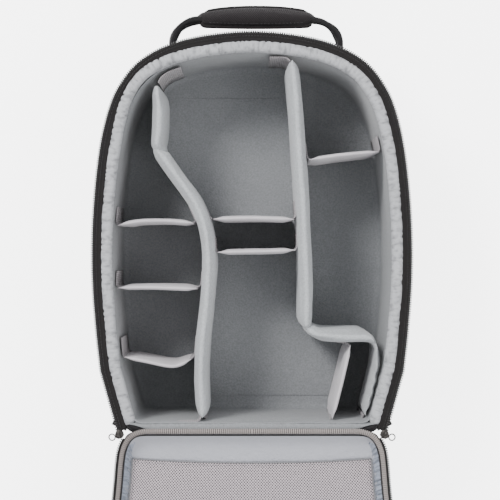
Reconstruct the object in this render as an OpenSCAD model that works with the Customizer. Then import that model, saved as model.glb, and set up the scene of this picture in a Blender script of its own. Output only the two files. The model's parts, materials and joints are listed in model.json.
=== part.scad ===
// Camera backpack, lying on its back with its front panel unzipped and folded down past the bottom edge.
// +X is the bag's right as seen from the front, +Y is towards the grab handle, +Z is out of the opening.
// The origin is on the face that it lies on, under the middle of the main compartment.

/* [Compartment] */
// Height of the floor liner's top above the ground
floor_z = 27; // [22:1:32]
// Height of the side walls, up to the padded rim
wall_top = 158; // [140:1:158]
// Height of the padded rim's top
rim_top = 170; // [168:1:170]
// Thickness of the padded walls
wall = 11; // [8:1:12]
// Thickness of the lining
lining = 2; // [1:0.5:3]

/* [Zip] */
// How far the teeth stand out from the walls
flare = 13; // [12:0.5:14]
// Width of the row of teeth
coil_w = 3.5; // [3:0.5:4]

/* [Lid] */
// Downward slope of the open lid, degrees
lid_slope = 17.9; // [16:0.1:17.9]
// Thickness of the lid
lid_t = 30; // [24:1:30]
// Depth of the front pocket on the lid's outside
pocket_t = 14; // [8:1:16]

/* [Dividers] */
// Thickness of the long padded dividers
long_t = 14; // [10:1:14]
// Thickness of the short padded dividers
short_t = 7; // [5:0.5:7]
// Top of the long dividers
long_top = 165; // [150:1:168]
// Top of the short dividers
short_top = 153; // [130:1:160]

/* [Handle] */
// Height of the handle's pivots above the ground
handle_z = 120; // [110:1:120]
// Radius of the padded grip
grip_r = 14.5; // [12:0.5:14.5]
// Length of the padded grip
grip_len = 149; // [120:1:150]

/* [Back] */
// Thickness of the shoulder straps and back padding
pad_t = 14; // [10:1:14]

/* [Hidden] */
$fn = 32;
gap = 0.4;
black = [0.10, 0.10, 0.11];
webbing_black = [0.07, 0.07, 0.08];
grey = [0.66, 0.68, 0.69];
pale = [0.74, 0.75, 0.77];
satin = [0.68, 0.69, 0.73];
tan = [0.55, 0.51, 0.48];
metal = [0.25, 0.24, 0.24];

// --- curves and strips ---

// A point on the smooth curve between b and c
function curve_point(a, b, c, d, t) = 0.5 * (2 * b + (c - a) * t + (2 * a - 5 * b + 4 * c - d) * t * t
    + (3 * b - a - 3 * c + d) * t * t * t);

// A smooth curve through points, with n steps between each two
function curve(points, n) = let (last = len(points) - 1) [
    for (i = [0:last - 1])
        for (k = [0:n - 1])
            curve_point(points[max(i - 1, 0)], points[i], points[i + 1], points[min(i + 2, last)], k / n),
    points[last]
];

function backwards(path) = [for (i = [len(path) - 1:-1:0]) path[i]];
function mirrored(path) = [for (p = path) [-p[0], p[1]]];
function stretch(path, from, to) = [for (i = [from:to]) path[i]];

// The unit vector to the left of a path at each of its points
function side_of(path, i) = let (t = path[min(i + 1, len(path) - 1)] - path[max(i - 1, 0)])
    [-t[1], t[0]] / norm(t);
function shifted(path, d) = [for (i = [0:len(path) - 1]) path[i] + d * side_of(path, i)];

// An upright strip that follows a path, between two distances to its left
module strip(path, d1, d2, z1, z2)
    translate([0, 0, z1]) linear_extrude(z2 - z1)
        polygon(concat(shifted(path, d1), backwards(shifted(path, d2))));

module slab(path, z1, z2)
    translate([0, 0, z1]) linear_extrude(z2 - z1) polygon(path);

module box(low, high)
    translate(low) cube(high - low);

function rounded_rect(x1, y1, x2, y2, r) = [
    for (c = [[x2 - r, y2 - r, 0], [x1 + r, y2 - r, 90], [x1 + r, y1 + r, 180], [x2 - r, y1 + r, 270]])
        for (k = [0:4]) [c[0], c[1]] + r * [cos(c[2] + 22.5 * k), sin(c[2] + 22.5 * k)]
];

// --- the outline of the opening, along the tips of the zip teeth ---

corner = [163, -238];
straight_end = [183.5, -165];
side_dir = (straight_end - corner) / norm(straight_end - corner);
rim_side = [straight_end, [188.5, -120], [193, -60], [193.5, -5], [190.5, 50], [184, 105], [173.5, 150],
    [160, 180], [138, 207], [104, 227], [60, 239]];
rim_curve = curve(concat(mirrored(rim_side), [[0, 244.5]], backwards(rim_side)), 3);
zip_path = concat([[-corner[0], corner[1]]], rim_curve, [corner]);
wall_end = corner - 30 * side_dir;
wall_path = concat([[-wall_end[0], wall_end[1]]], rim_curve, [wall_end]);
bottom_out = -238;
bottom_in = -230;
flap_half = 126;
back_z = floor_z - 3;

// Everything inside the walls' outline, drawn in by d, above the line y = low
module inside(d, low, z1, z2)
    intersection() {
        slab(shifted(wall_path, -d), z1, z2);
        box([-250, low, z1 - 1], [250, 300, z2 + 1]);
    }

module padded_walls()
    difference() {
        inside(flare, bottom_out, back_z, wall_top);
        inside(flare + wall, bottom_in, back_z - 1, wall_top + 1);
    }

split_y = 110;
split_x = 120;
module left_gusset() color(black) intersection() {
    padded_walls();
    box([-250, bottom_in, 0], [-split_x, split_y, 200]);
}
module right_gusset() color(black) intersection() {
    padded_walls();
    box([split_x, bottom_in, 0], [250, split_y, 200]);
}
module top_gusset() color(black) intersection() {
    padded_walls();
    box([-250, split_y, 0], [250, 300, 200]);
}
module bottom_gusset() color(black) intersection() {
    padded_walls();
    box([-250, -300, 0], [250, bottom_in, 200]);
}
module hinge_flap() color(black)
    box([-flap_half, bottom_out, wall_top], [flap_half, bottom_out + 3, rim_top + 0.6]);
module back_panel() color(black) inside(flare, bottom_out, pad_t, back_z);
module floor_liner() color(grey) inside(flare + wall, bottom_in, back_z, floor_z);
module wall_liner() color(grey) difference() {
    inside(flare + wall, bottom_in, floor_z, wall_top);
    inside(flare + wall + lining, bottom_in + lining, floor_z - 1, wall_top + 1);
}
module rim_bead() color(pale) strip(zip_path, 2 - flare, -flare - wall, wall_top, rim_top);

// --- the main zip's fixed half ---

tape_z = rim_top - 3;
module shell_zip_tape() color(black) strip(zip_path, -coil_w, 2 - flare, tape_z, tape_z + 1);
module shell_zip_teeth() color(webbing_black) strip(zip_path, 0, -coil_w, tape_z - 1.5, tape_z + 2.5);
module zip_end_tabs() color(webbing_black)
    for (side = [0, 1]) mirror([side, 0, 0])
        translate([corner[0], corner[1], 0]) rotate([0, 0, -atan2(side_dir[0], side_dir[1])])
            box([-flare, 4, wall_top - 5], [4, 19, wall_top - 2]);

// --- the grab handle ---

handle_x = 5;
pivot_y = 225;
grip_y = 265.5;
tail_root_r = 5;
tail_half = 5;
anchor_inner = 84;
anchor_outer = 122;
anchor_half = 16;
tail_path = curve([[103, pivot_y + 3], [102, 241], [95, 254], [80, 263], [grip_len / 2 - 3, 264.5]], 3);

module handle_grip() color(black) translate([handle_x, grip_y, handle_z]) rotate([0, 90, 0])
    rotate_extrude() polygon([[0, -grip_len / 2], [7, -grip_len / 2], [11.5, 9 - grip_len / 2],
        [grip_r - 0.8, 30 - grip_len / 2], [grip_r, 0], [grip_r - 0.8, grip_len / 2 - 30],
        [11.5, grip_len / 2 - 9], [7, grip_len / 2], [0, grip_len / 2]]);
module handle_webbing() color(webbing_black) translate([handle_x, 0, 0])
    for (side = [0, 1]) mirror([side, 0, 0]) difference() {
        union() {
            strip(tail_path, -3, 3, handle_z - tail_half, handle_z + tail_half);
            translate([99.5, pivot_y, handle_z]) rotate([0, 90, 0]) cylinder(r = tail_root_r, h = 7);
        }
        box([-90, 230, 100], [grip_len / 2 + 0.01, 290, 140]);
    }
module handle_anchors() color(webbing_black)
    for (side = [0, 1]) intersection() {
        strip(rim_curve, 2.5 - flare, -flare, handle_z - anchor_half, handle_z + anchor_half);
        box(side == 0 ? [handle_x + anchor_inner, 150, 0] : [handle_x - anchor_outer, 150, 0],
            side == 0 ? [handle_x + anchor_outer, 250, 200] : [handle_x - anchor_inner, 250, 200]);
    }

// --- the sides ---

pocket_low = 32;
pocket_high = 122;
module side_pocket() color(black) intersection() {
    strip(rim_curve, 5 - flare, -flare, pocket_low, pocket_high);
    box([-250, -150, 0], [0, 20, 200]);
}
strap_rows = [62, -96];
strap_half = 12.5;
module side_straps() color(webbing_black)
    for (y = strap_rows) intersection() {
        strip(rim_curve, 2 - flare, -flare, 30, 150);
        box([0, y - strap_half, 0], [250, y + strap_half, 200]);
    }

// --- the back ---

module back_pad() color(black) slab(rounded_rect(-62, -150, 62, 70, 18), 0, pad_t);
module lumbar_pad() color(black) slab(rounded_rect(-106, -222, 106, -160, 22), 0, pad_t);
pad_half = 31;
pad_path = curve([[40, 196], [58, 160], [84, 105], [104, 40], [112, -20], [112, -70]], 3);
lock_at = [113, -86];
web_end = [136, -222];
web_path = [lock_at, web_end];
module shoulder_straps() color(black)
    for (side = [0, 1]) mirror([side, 0, 0]) strip(pad_path, -pad_half, pad_half, 0, pad_t);
module strap_webbing() color(webbing_black)
    for (side = [0, 1]) mirror([side, 0, 0]) strip(web_path, -strap_half, strap_half, pad_t - 2, pad_t);
module ladder_locks() color(webbing_black)
    for (side = [0, 1]) mirror([side, 0, 0]) difference() {
        translate([lock_at[0], lock_at[1], 0]) box([-18, -12, 4], [18, 15, pad_t - 2.3]);
        for (row = [-7, 4]) translate([lock_at[0], lock_at[1] + row, 0]) box([-13.5, 0, 0], [13.5, 5, pad_t]);
    }

// --- sliders and pulls, drawn along +Y with the teeth at x = 0 ---

pin_r = 1;
module slider_body(length, inner, outer, low, high, pin_z, pin_from, pin_to) {
    pin_x = (outer - inner) / 2;
    difference() {
        box([-inner, -length / 2, low], [outer, length / 2, high]);
        box([-coil_w - gap, -length, tape_z - 1.5 - gap], [gap, length, tape_z + 2.5 + gap]);
        box([-inner - 1, -length, tape_z - gap], [-coil_w, length, tape_z + 1 + gap]);
    }
    for (y = [pin_from, pin_to - 1.6])
        box([pin_x - 2, y, high - 0.01], [pin_x + 2, y + 1.6, pin_z + 1.6]);
    translate([pin_x, pin_from + 0.5, pin_z]) rotate([-90, 0, 0])
        cylinder(r = pin_r, h = pin_to - pin_from - 1);
}
// A pull that turns on a pin along Y at the origin, and hangs towards +X
module ring_pull(reach, ring_r, width) {
    difference() {
        union() {
            rotate([90, 0, 0]) cylinder(r = 2.4, h = width, center = true);
            box([0, -width / 2, -0.8], [reach, width / 2, 0.8]);
            translate([reach, 0, 0]) cylinder(r = ring_r, h = 1.6, center = true);
        }
        rotate([90, 0, 0]) cylinder(r = pin_r + gap, h = width + 1, center = true);
        translate([reach, 0, 0]) cylinder(r = ring_r - 2, h = 3, center = true);
    }
}
slider_pin_z = 174.8;
slider_shift = -3;
slider_inner = 8.4;
slider_outer = 2.6;
pull_row = -1;
pull_droop = 10;
// The right slider's place: along its side, with the pull outwards
module at_corner() translate([corner[0], corner[1], 0])
    rotate([0, 0, -atan2(side_dir[0], side_dir[1])]) translate([0, slider_shift, 0]) children();
module main_slider() color(metal) at_corner() slider_body(12, slider_inner, slider_outer, 163, 172,
    slider_pin_z, -4.6, 2.6);
module main_pull() color(metal) at_corner()
    translate([(slider_outer - slider_inner) / 2, pull_row, slider_pin_z])
    rotate([0, pull_droop, 0]) ring_pull(9, 4.6, 2.6);
module right_slider() main_slider();
module right_pull() main_pull();
module left_slider() mirror([1, 0, 0]) main_slider();
module left_pull() mirror([1, 0, 0]) main_pull();

// --- the lid, drawn flat beyond the hinge line with its inner face up, then sloped ---

hinge_y = -236;
hinge_z = 174;
binding_r = 3;
hinge_half = 128;
deep_start = 14;
strip_start = 6;
lid_side = [[hinge_half, 0], [141, 3.5], [150, 12], [156, 26], [159, 45], [161, 66], [164, 92], [168.5, 122],
    [174.5, 158], [180, 198], [183.5, 240], [183, 288], [177.5, 338], [167, 384], [152.5, 414], [131, 441],
    [99, 459], [57, 470]];
function lid_points(list) = [for (p = list) [p[0], -p[1]]];
lid_path = curve(concat(lid_points(lid_side), [[0, -474]], backwards(mirrored(lid_points(lid_side)))), 2);
teeth_out = 7;
open_from = 6;
lid_teeth_path = stretch(shifted(lid_path, teeth_out), open_from, len(lid_path) - 1 - open_from);

module lid_frame() translate([0, hinge_y, hinge_z]) rotate([lid_slope, 0, 0]) children();
// Everything inside the lid's outline, drawn in by d, past the line v = start
module lid_inside(d, start, w1, w2)
    intersection() {
        slab(shifted(lid_path, -d), w1, w2);
        box([-250, -500, w1 - 1], [250, -start, w2 + 1]);
    }

face_w = -12;
module lid_gusset() color(black) lid_frame() difference() {
    lid_inside(1, deep_start, -lid_t, -binding_r);
    lid_inside(5, deep_start + 4, -lid_t - 1, 0);
}
module lid_panel() color(black) lid_frame() lid_inside(5, deep_start + 4, -lid_t, face_w);
module lid_lining() color(satin) lid_frame() lid_inside(5, deep_start + 4, face_w, face_w + 2);
module lid_binding() color(tan) lid_frame() {
    strip(lid_path, -binding_r, binding_r, -binding_r, binding_r);
    rotate([0, 90, 0]) cylinder(r = binding_r, h = 2 * hinge_half, center = true);
}
module lid_hinge_strip() color(black) lid_frame()
    box([-hinge_half, -deep_start, -6], [hinge_half, -strip_start, -4.5]);
module lid_zip_tape() color(black) lid_frame()
    strip(stretch(lid_path, open_from, len(lid_path) - 1 - open_from), teeth_out - coil_w, binding_r, -0.5, 0.5);
module lid_zip_teeth() color(webbing_black) lid_frame()
    strip(lid_teeth_path, 0, -coil_w, -1.8, 1.8);

mesh_start = 41;
mesh_zip_at = 250;
mesh_zip_half = 14;
mesh_edge = 14;
module mesh_pocket() color([0.72, 0.70, 0.71]) lid_frame() difference() {
    lid_inside(mesh_edge, mesh_start, face_w + 2, face_w + 4);
    box([-250, -mesh_zip_at - mesh_zip_half, face_w], [250, -mesh_zip_at + mesh_zip_half, 0]);
}
module mesh_pocket_band() color(satin) lid_frame() intersection() {
    lid_inside(mesh_edge, deep_start + 5, face_w + 2, face_w + 4);
    box([-250, -mesh_start, face_w], [250, 0, 0]);
}
module mesh_zip_tape() color(satin) lid_frame() intersection() {
    lid_inside(mesh_edge, 0, face_w + 2, face_w + 4.5);
    box([-250, -mesh_zip_at - mesh_zip_half, face_w], [250, -mesh_zip_at + mesh_zip_half, 0]);
}

pocket_shape = rounded_rect(-128, -402, 128, -66, 34);
front_zip_at = 352;
front_zip_half = 8;
zip_proud = 1.5;
module front_pocket() color(black) lid_frame() slab(pocket_shape, -lid_t - pocket_t, -lid_t);
module front_zip_tape() color(webbing_black) lid_frame()
    box([-112, -front_zip_at - front_zip_half, -lid_t - pocket_t - zip_proud],
        [112, -front_zip_at + front_zip_half, -lid_t - pocket_t]);

small_pin_z = 5.8;
// A small slider that lies on its tape and runs along X, with its pin along Y
module small_slider() {
    box([-7, -4.5, 0.3], [7, 4.5, 3]);
    for (y = [-3.4, 2]) box([-1.8, y, 2.99], [1.8, y + 1.4, small_pin_z + 1.6]);
    translate([0, 0, small_pin_z]) rotate([90, 0, 0]) cylinder(r = pin_r, h = 5, center = true);
}
module small_pull() translate([0, 0, small_pin_z]) ring_pull(15, 3.8, 3);
mesh_slider_x = -120;
front_slider_x = -98;
module at_mesh_slider() lid_frame() translate([mesh_slider_x, -mesh_zip_at, face_w + 4.5]) children();
module at_front_slider() lid_frame() translate([front_slider_x, -front_zip_at, -lid_t - pocket_t - zip_proud])
    mirror([0, 0, 1]) children();
module mesh_slider() color(metal) at_mesh_slider() small_slider();
module mesh_pull() color(metal) at_mesh_slider() small_pull();
module front_slider() color(metal) at_front_slider() small_slider();
module front_pull() color(metal) at_front_slider() small_pull();

// --- dividers: padded panels that stand on the floor liner ---

stand_z = floor_z + 0.2;
steps = 4;
liner_face = -(flare + wall + lining);
left_long_path = curve([[-114, 181], [-113, 156], [-114, 128], [-116, 106], [-110, 96], [-93, 72], [-71, 42],
    [-59, 16], [-53.5, -10], [-52, -38], [-54, -66], [-56.5, -96], [-60, -132], [-62, -170], [-61, -202],
    [-60, -224]], steps);
right_long_path = curve([[47, 212], [51, 184], [54.5, 143], [57.5, 101], [61, 46], [64, -8], [65.5, -56],
    [65, -96], [66, -112], [76, -121], [94, -123], [118, -123], [138, -123], [148, -127], [153, -142],
    [149.5, -171], [136, -221]], steps);
arm_start = 13 * steps;
arm_t = 8;
tab_t = 2;
tab_low = 40;
tab_high = 138;

module divider(path, t, top) color(grey) strip(path, -t / 2, t / 2, stand_z, top);
module tab(path, d1, d2) color(grey) strip(path, d1, d2, tab_low, tab_high);

module left_long_divider() divider(left_long_path, long_t, long_top);
module right_long_divider() {
    divider(stretch(right_long_path, 0, arm_start), long_t, long_top);
    divider(stretch(right_long_path, arm_start, len(right_long_path) - 1), arm_t, long_top);
}
// A tab on the lining of the lower wall, from one x to another
module lower_tab(from, to) color(grey)
    box([from, bottom_in + lining + gap, tab_low], [to, bottom_in + lining + gap + tab_t, tab_high]);
module left_long_tabs() {
    lower_tab(-92, -62);
    lower_tab(-58, -38);
}
module right_long_tabs() lower_tab(112, 134);

// A short divider between two faces
module short_divider(path) divider(path, short_t, short_top);
// A tab on a long divider's face, along its path from one point to another
module face_tab(path, i, j, d) tab(stretch(path, i, j), d, d > 0 ? d + tab_t : d - tab_t);
inner_tab = liner_face - gap;
long_tab = long_t / 2 + gap;

left_upper_path = curve([[-163, 11], [-136, 15.5], [-100, 16], [-71, 13.5]], steps);
left_middle_path = curve([[-163, -65.5], [-115, -64.5], [-66, -66]], steps);
left_lower_path = curve([[-156, -149], [-125, -155], [-95, -160], [-74, -152]], steps);
right_upper_path = curve([[69.5, 90], [112, 96], [154.5, 100]], steps);
centre_upper_path = curve([[-47, 18.5], [5, 19.5], [51, 18]], steps);
centre_lower_path = curve([[-41.5, -22], [8, -21], [53, -19]], steps);
right_lower_path = curve([[119, -134.5], [109, -178], [97, -224]], steps);
module left_upper_divider() short_divider(left_upper_path);
module left_middle_divider() short_divider(left_middle_path);
module left_lower_divider() short_divider(left_lower_path);
module right_upper_divider() short_divider(right_upper_path);
module centre_upper_divider() short_divider(centre_upper_path);
module centre_lower_divider() short_divider(centre_lower_path);
module right_lower_divider() short_divider(right_lower_path);

// A tab on the lining of a side wall, on the bag's left if side is below 0, from one y to another
module liner_tab(side, from, to) color(grey) intersection() {
    strip(rim_curve, inner_tab - tab_t, inner_tab, tab_low, tab_high);
    box(side < 0 ? [-250, from, 0] : [0, from, 0], side < 0 ? [0, to, 200] : [250, to, 200]);
}
module left_upper_tabs() {
    liner_tab(-1, 12, 34);
    face_tab(left_long_path, 25, 29, -long_tab);
}
module left_middle_tabs() {
    liner_tab(-1, -64, -44);
    face_tab(left_long_path, 37, 40, -long_tab);
}
module left_lower_tabs() {
    liner_tab(-1, -147, -125);
    face_tab(left_long_path, 47, 50, -long_tab);
}
module right_upper_tabs() {
    liner_tab(1, 101, 121);
    face_tab(right_long_path, 11, 13, long_tab);
}
module centre_upper_tabs() {
    face_tab(left_long_path, 25, 27, long_tab);
    face_tab(right_long_path, 16, 18, -long_tab);
}
module centre_lower_tabs() {
    face_tab(left_long_path, 31, 33, long_tab);
    face_tab(right_long_path, 19, 21, -long_tab);
}
module right_lower_tabs() {
    face_tab(right_long_path, 42, 45, -long_tab);
    lower_tab(74, 97);
}

back_panel();
back_pad();
lumbar_pad();
shoulder_straps();
strap_webbing();
ladder_locks();
left_gusset();
right_gusset();
top_gusset();
bottom_gusset();
hinge_flap();
floor_liner();
wall_liner();
rim_bead();
shell_zip_tape();
shell_zip_teeth();
zip_end_tabs();
handle_anchors();
side_pocket();
side_straps();
handle_grip();
handle_webbing();
left_slider();
left_pull();
right_slider();
right_pull();
lid_panel();
lid_gusset();
lid_lining();
lid_binding();
lid_hinge_strip();
lid_zip_tape();
lid_zip_teeth();
mesh_pocket();
mesh_pocket_band();
mesh_zip_tape();
mesh_slider();
mesh_pull();
front_pocket();
front_zip_tape();
front_slider();
front_pull();
left_long_divider();
left_long_tabs();
right_long_divider();
right_long_tabs();
left_upper_divider();
left_upper_tabs();
left_middle_divider();
left_middle_tabs();
left_lower_divider();
left_lower_tabs();
right_upper_divider();
right_upper_tabs();
centre_upper_divider();
centre_upper_tabs();
centre_lower_divider();
centre_lower_tabs();
right_lower_divider();
right_lower_tabs();
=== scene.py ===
"""The looks of the camera backpack: padding, cloth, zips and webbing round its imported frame.

Lengths are in millimetres until Mesh.piece() turns them into metres.
"""

import json
import math

import bmesh
import bpy
from mathutils import Matrix, Vector, noise


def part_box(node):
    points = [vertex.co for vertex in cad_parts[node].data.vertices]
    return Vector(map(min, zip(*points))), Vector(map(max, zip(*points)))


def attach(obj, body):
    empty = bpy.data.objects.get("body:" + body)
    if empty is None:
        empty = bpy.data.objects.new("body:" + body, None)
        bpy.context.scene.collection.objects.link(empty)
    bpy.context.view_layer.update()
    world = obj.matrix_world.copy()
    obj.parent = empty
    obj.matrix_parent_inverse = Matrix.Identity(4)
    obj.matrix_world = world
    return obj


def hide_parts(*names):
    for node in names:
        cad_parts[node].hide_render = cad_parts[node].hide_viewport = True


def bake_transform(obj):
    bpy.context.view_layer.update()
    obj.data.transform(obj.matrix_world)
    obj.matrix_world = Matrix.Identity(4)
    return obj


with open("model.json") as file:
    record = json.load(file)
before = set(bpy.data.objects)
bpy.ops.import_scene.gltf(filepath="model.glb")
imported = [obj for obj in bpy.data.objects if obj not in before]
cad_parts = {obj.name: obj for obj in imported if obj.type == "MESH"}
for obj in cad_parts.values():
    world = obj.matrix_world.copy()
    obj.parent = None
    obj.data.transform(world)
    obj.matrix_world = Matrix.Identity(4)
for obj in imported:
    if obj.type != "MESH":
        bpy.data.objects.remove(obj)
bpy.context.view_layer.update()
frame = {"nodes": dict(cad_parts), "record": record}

MM = 0.001
RECORD_JOINTS = {joint["name"]: joint for joint in frame["record"]["behaviour"]["joints"]}


def low(node):
    return Vector(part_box(node)[0]) / MM


def high(node):
    return Vector(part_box(node)[1]) / MM


# ---------------------------------------------------------------- materials

class Shader:
    """A material's node tree, written as small expressions."""

    def __init__(self, name):
        self.material = bpy.data.materials.new(name)
        self.material.use_nodes = True
        self.tree = self.material.node_tree
        self.surface = self.tree.nodes["Principled BSDF"]

    def node(self, kind, inputs=(), **settings):
        made = self.tree.nodes.new("ShaderNode" + kind)
        for key, value in settings.items():
            setattr(made, key, value)
        for key, value in dict(inputs).items():
            self.plug(made.inputs[key], value)
        return made

    def plug(self, socket, value):
        if isinstance(value, bpy.types.NodeSocket):
            self.tree.links.new(value, socket)
        else:
            socket.default_value = value

    def math(self, operation, a, b=0.0, c=0.0):
        return self.node("Math", {0: a, 1: b, 2: c}, operation=operation).outputs[0]

    def add(self, a, b):
        return self.math("ADD", a, b)

    def times(self, a, b):
        return self.math("MULTIPLY", a, b)

    def wave(self, value, pitch, shift=0.0):
        """A sine wave from -1 to 1 along a coordinate in metres, with its pitch in millimetres."""
        turn = self.math("MULTIPLY_ADD", value, 2 * math.pi / (pitch * MM), shift)
        return self.math("SINE", turn)

    def blend(self, factor, a, b):
        mix = self.node("Mix", {"Factor": factor}, data_type="RGBA")
        self.plug(mix.inputs[6], a)
        self.plug(mix.inputs[7], b)
        return mix.outputs[2]

    def noise(self, size, detail=2.0, vector=None):
        """Soft noise with features of about the size given, in millimetres."""
        made = self.node("TexNoise", {"Scale": 1 / (size * MM), "Detail": detail, "Roughness": 0.6})
        self.plug(made.inputs["Vector"], vector or self.place())
        return made.outputs["Fac"]

    def place(self):
        return self.node("TexCoord").outputs["Object"]

    def axes(self, vector):
        return self.node("SeparateXYZ", {0: vector}).outputs

    def along(self):
        """Along the piece and across it, in metres, from its own map."""
        return self.axes(self.node("UVMap", uv_map="cloth").outputs["UV"])

    def bump(self, height, depth, below=None):
        inputs = {"Height": height, "Distance": depth * MM, "Strength": 1.0}
        if below:
            inputs["Normal"] = below
        return self.node("Bump", inputs).outputs["Normal"]


def shade(colour, amount):
    return tuple(min(1.0, c * amount) for c in colour[:3]) + (1.0,)


def plain_weave(s, pitch):
    """A plain weave that shows on a surface facing any way."""
    x, y, z = [s.wave(axis, pitch) for axis in s.axes(s.place())]
    return s.add(s.add(s.times(x, y), s.times(y, z)), s.times(z, x))


def twill_weave(s, pitch):
    x, y, z = s.axes(s.place())
    slope = s.add(s.add(x, y), z)
    return s.wave(slope, pitch * 1.4)


def brushed(s, pitch):
    fibres = s.noise(pitch, 6.0)
    return s.math("MULTIPLY_ADD", fibres, 2.4, -1.2)


def ribbed(s, pitch):
    along, across, _ = s.along()
    fine = s.times(s.wave(across, pitch / 2), 0.3)
    return s.add(s.wave(along, pitch), fine)


def webbing_weave(s, pitch):
    along, across, _ = s.along()
    chevron = s.add(along, s.math("ABSOLUTE", s.times(s.wave(across, pitch * 8), pitch * 1.2 * MM)))
    return s.add(s.wave(chevron, pitch), s.times(s.wave(across, pitch * 1.4), 0.7))


def mesh_weave(s, pitch):
    """An open knit: rows of small holes, each row half a step along from the last."""
    along, across, _ = s.along()
    return s.math("MULTIPLY_ADD", s.times(s.wave(along, pitch), s.wave(across, pitch * 0.9)), 3.2, 0.5)


def flat_mesh_weave(s, pitch):
    """The same knit on a piece that lies flat, whose mesh has no map of its own."""
    x, y, _ = s.axes(s.place())
    return s.math("MULTIPLY_ADD", s.times(s.wave(x, pitch), s.wave(y, pitch)), 1.8, 0.3)


def fabric(name, colour, weave, pitch, depth=0.15, contrast=0.25, rough=0.85, sheen=0.25,
           mottle=0.12, wrinkle=0.0, wear=0.0, gather=None, shine=0.3):
    """Cloth with a weave of the pitch given, painted shade on the weave's relief, uneven dye, small
    creases and paler worn edges.

    gather is the spacing of creases along the piece, their length across it and their depth. The creases
    are also painted darker, as painted shade.
    """
    s = Shader(name)
    threads = weave(s, pitch)
    # Painted shade and highlight on the weave: darker where the threads dip, lighter on their crests and
    # near black in an open knit's holes. On brushed cloth the same step is the yarn's own melange.
    weave_shade_and_melange = s.math("MULTIPLY_ADD", threads, 0.5, 0.5)
    base = s.blend(weave_shade_and_melange, shade(colour, 1 - contrast), shade(colour, 1 + contrast))
    patches = s.math("MULTIPLY_ADD", s.noise(38), 1.6, -0.3)
    base = s.blend(s.times(patches, mottle), base, shade(colour, 0.55))
    grain = s.noise(1.1, 3.0)
    base = s.blend(s.times(grain, mottle), base, shade(colour, 1.7))
    if wear:
        edge = s.node("NewGeometry").outputs["Pointiness"]
        worn = s.node("MapRange", {"Value": edge, "From Min": 0.52, "From Max": 0.60}).outputs[0]
        base = s.blend(s.times(worn, wear), base, shade(colour, 2.2))
    normal = None
    if wrinkle:
        normal = s.bump(s.noise(9, 3.0), wrinkle)
    if gather:
        spacing, length, fold = gather
        along, across, _ = s.along()
        steps = {0: s.times(along, 1 / (spacing * MM)), 1: s.times(across, 1 / (length * MM))}
        flow = s.node("CombineXYZ", steps).outputs[0]
        creases = s.node("TexNoise", {"Vector": flow, "Scale": 1.0, "Detail": 2.0}).outputs["Fac"]
        normal = s.bump(creases, fold, normal)
        # Painted shade: the colour is darkened in the creases' hollows.
        crease_shade_range = {"Value": creases, "From Min": 0.52, "From Max": 0.32, "To Max": 0.62}
        base = s.blend(s.node("MapRange", crease_shade_range).outputs[0], base, shade(colour, 0.35))
    s.plug(s.surface.inputs["Base Color"], base)
    s.plug(s.surface.inputs["Normal"], s.bump(threads, depth, normal))
    s.plug(s.surface.inputs["Roughness"], s.math("MULTIPLY_ADD", grain, 0.14, rough - 0.07))
    s.surface.inputs["Sheen Weight"].default_value = sheen
    s.surface.inputs["Sheen Roughness"].default_value = 0.4
    s.surface.inputs["Specular IOR Level"].default_value = shine
    return s.material


def hard(name, colour, rough, metallic=0.0, grain_size=0.6, depth=0.02, scuff=0.3):
    """Moulded plastic or painted metal, with fine grain and paler scuffed edges."""
    s = Shader(name)
    grain = s.noise(grain_size, 4.0)
    blotch = s.noise(6, 3.0)
    edge = s.node("NewGeometry").outputs["Pointiness"]
    worn = s.node("MapRange", {"Value": edge, "From Min": 0.53, "From Max": 0.62}).outputs[0]
    base = s.blend(s.times(blotch, 0.4), shade(colour, 1.15), shade(colour, 0.7))
    base = s.blend(s.times(worn, scuff), base, shade(colour, 2.6))
    s.plug(s.surface.inputs["Base Color"], base)
    s.plug(s.surface.inputs["Normal"], s.bump(grain, depth))
    s.plug(s.surface.inputs["Roughness"], s.math("MULTIPLY_ADD", blotch, 0.25, rough - 0.1))
    s.surface.inputs["Metallic"].default_value = metallic
    return s.material


RIB_PITCH = 2.45

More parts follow.
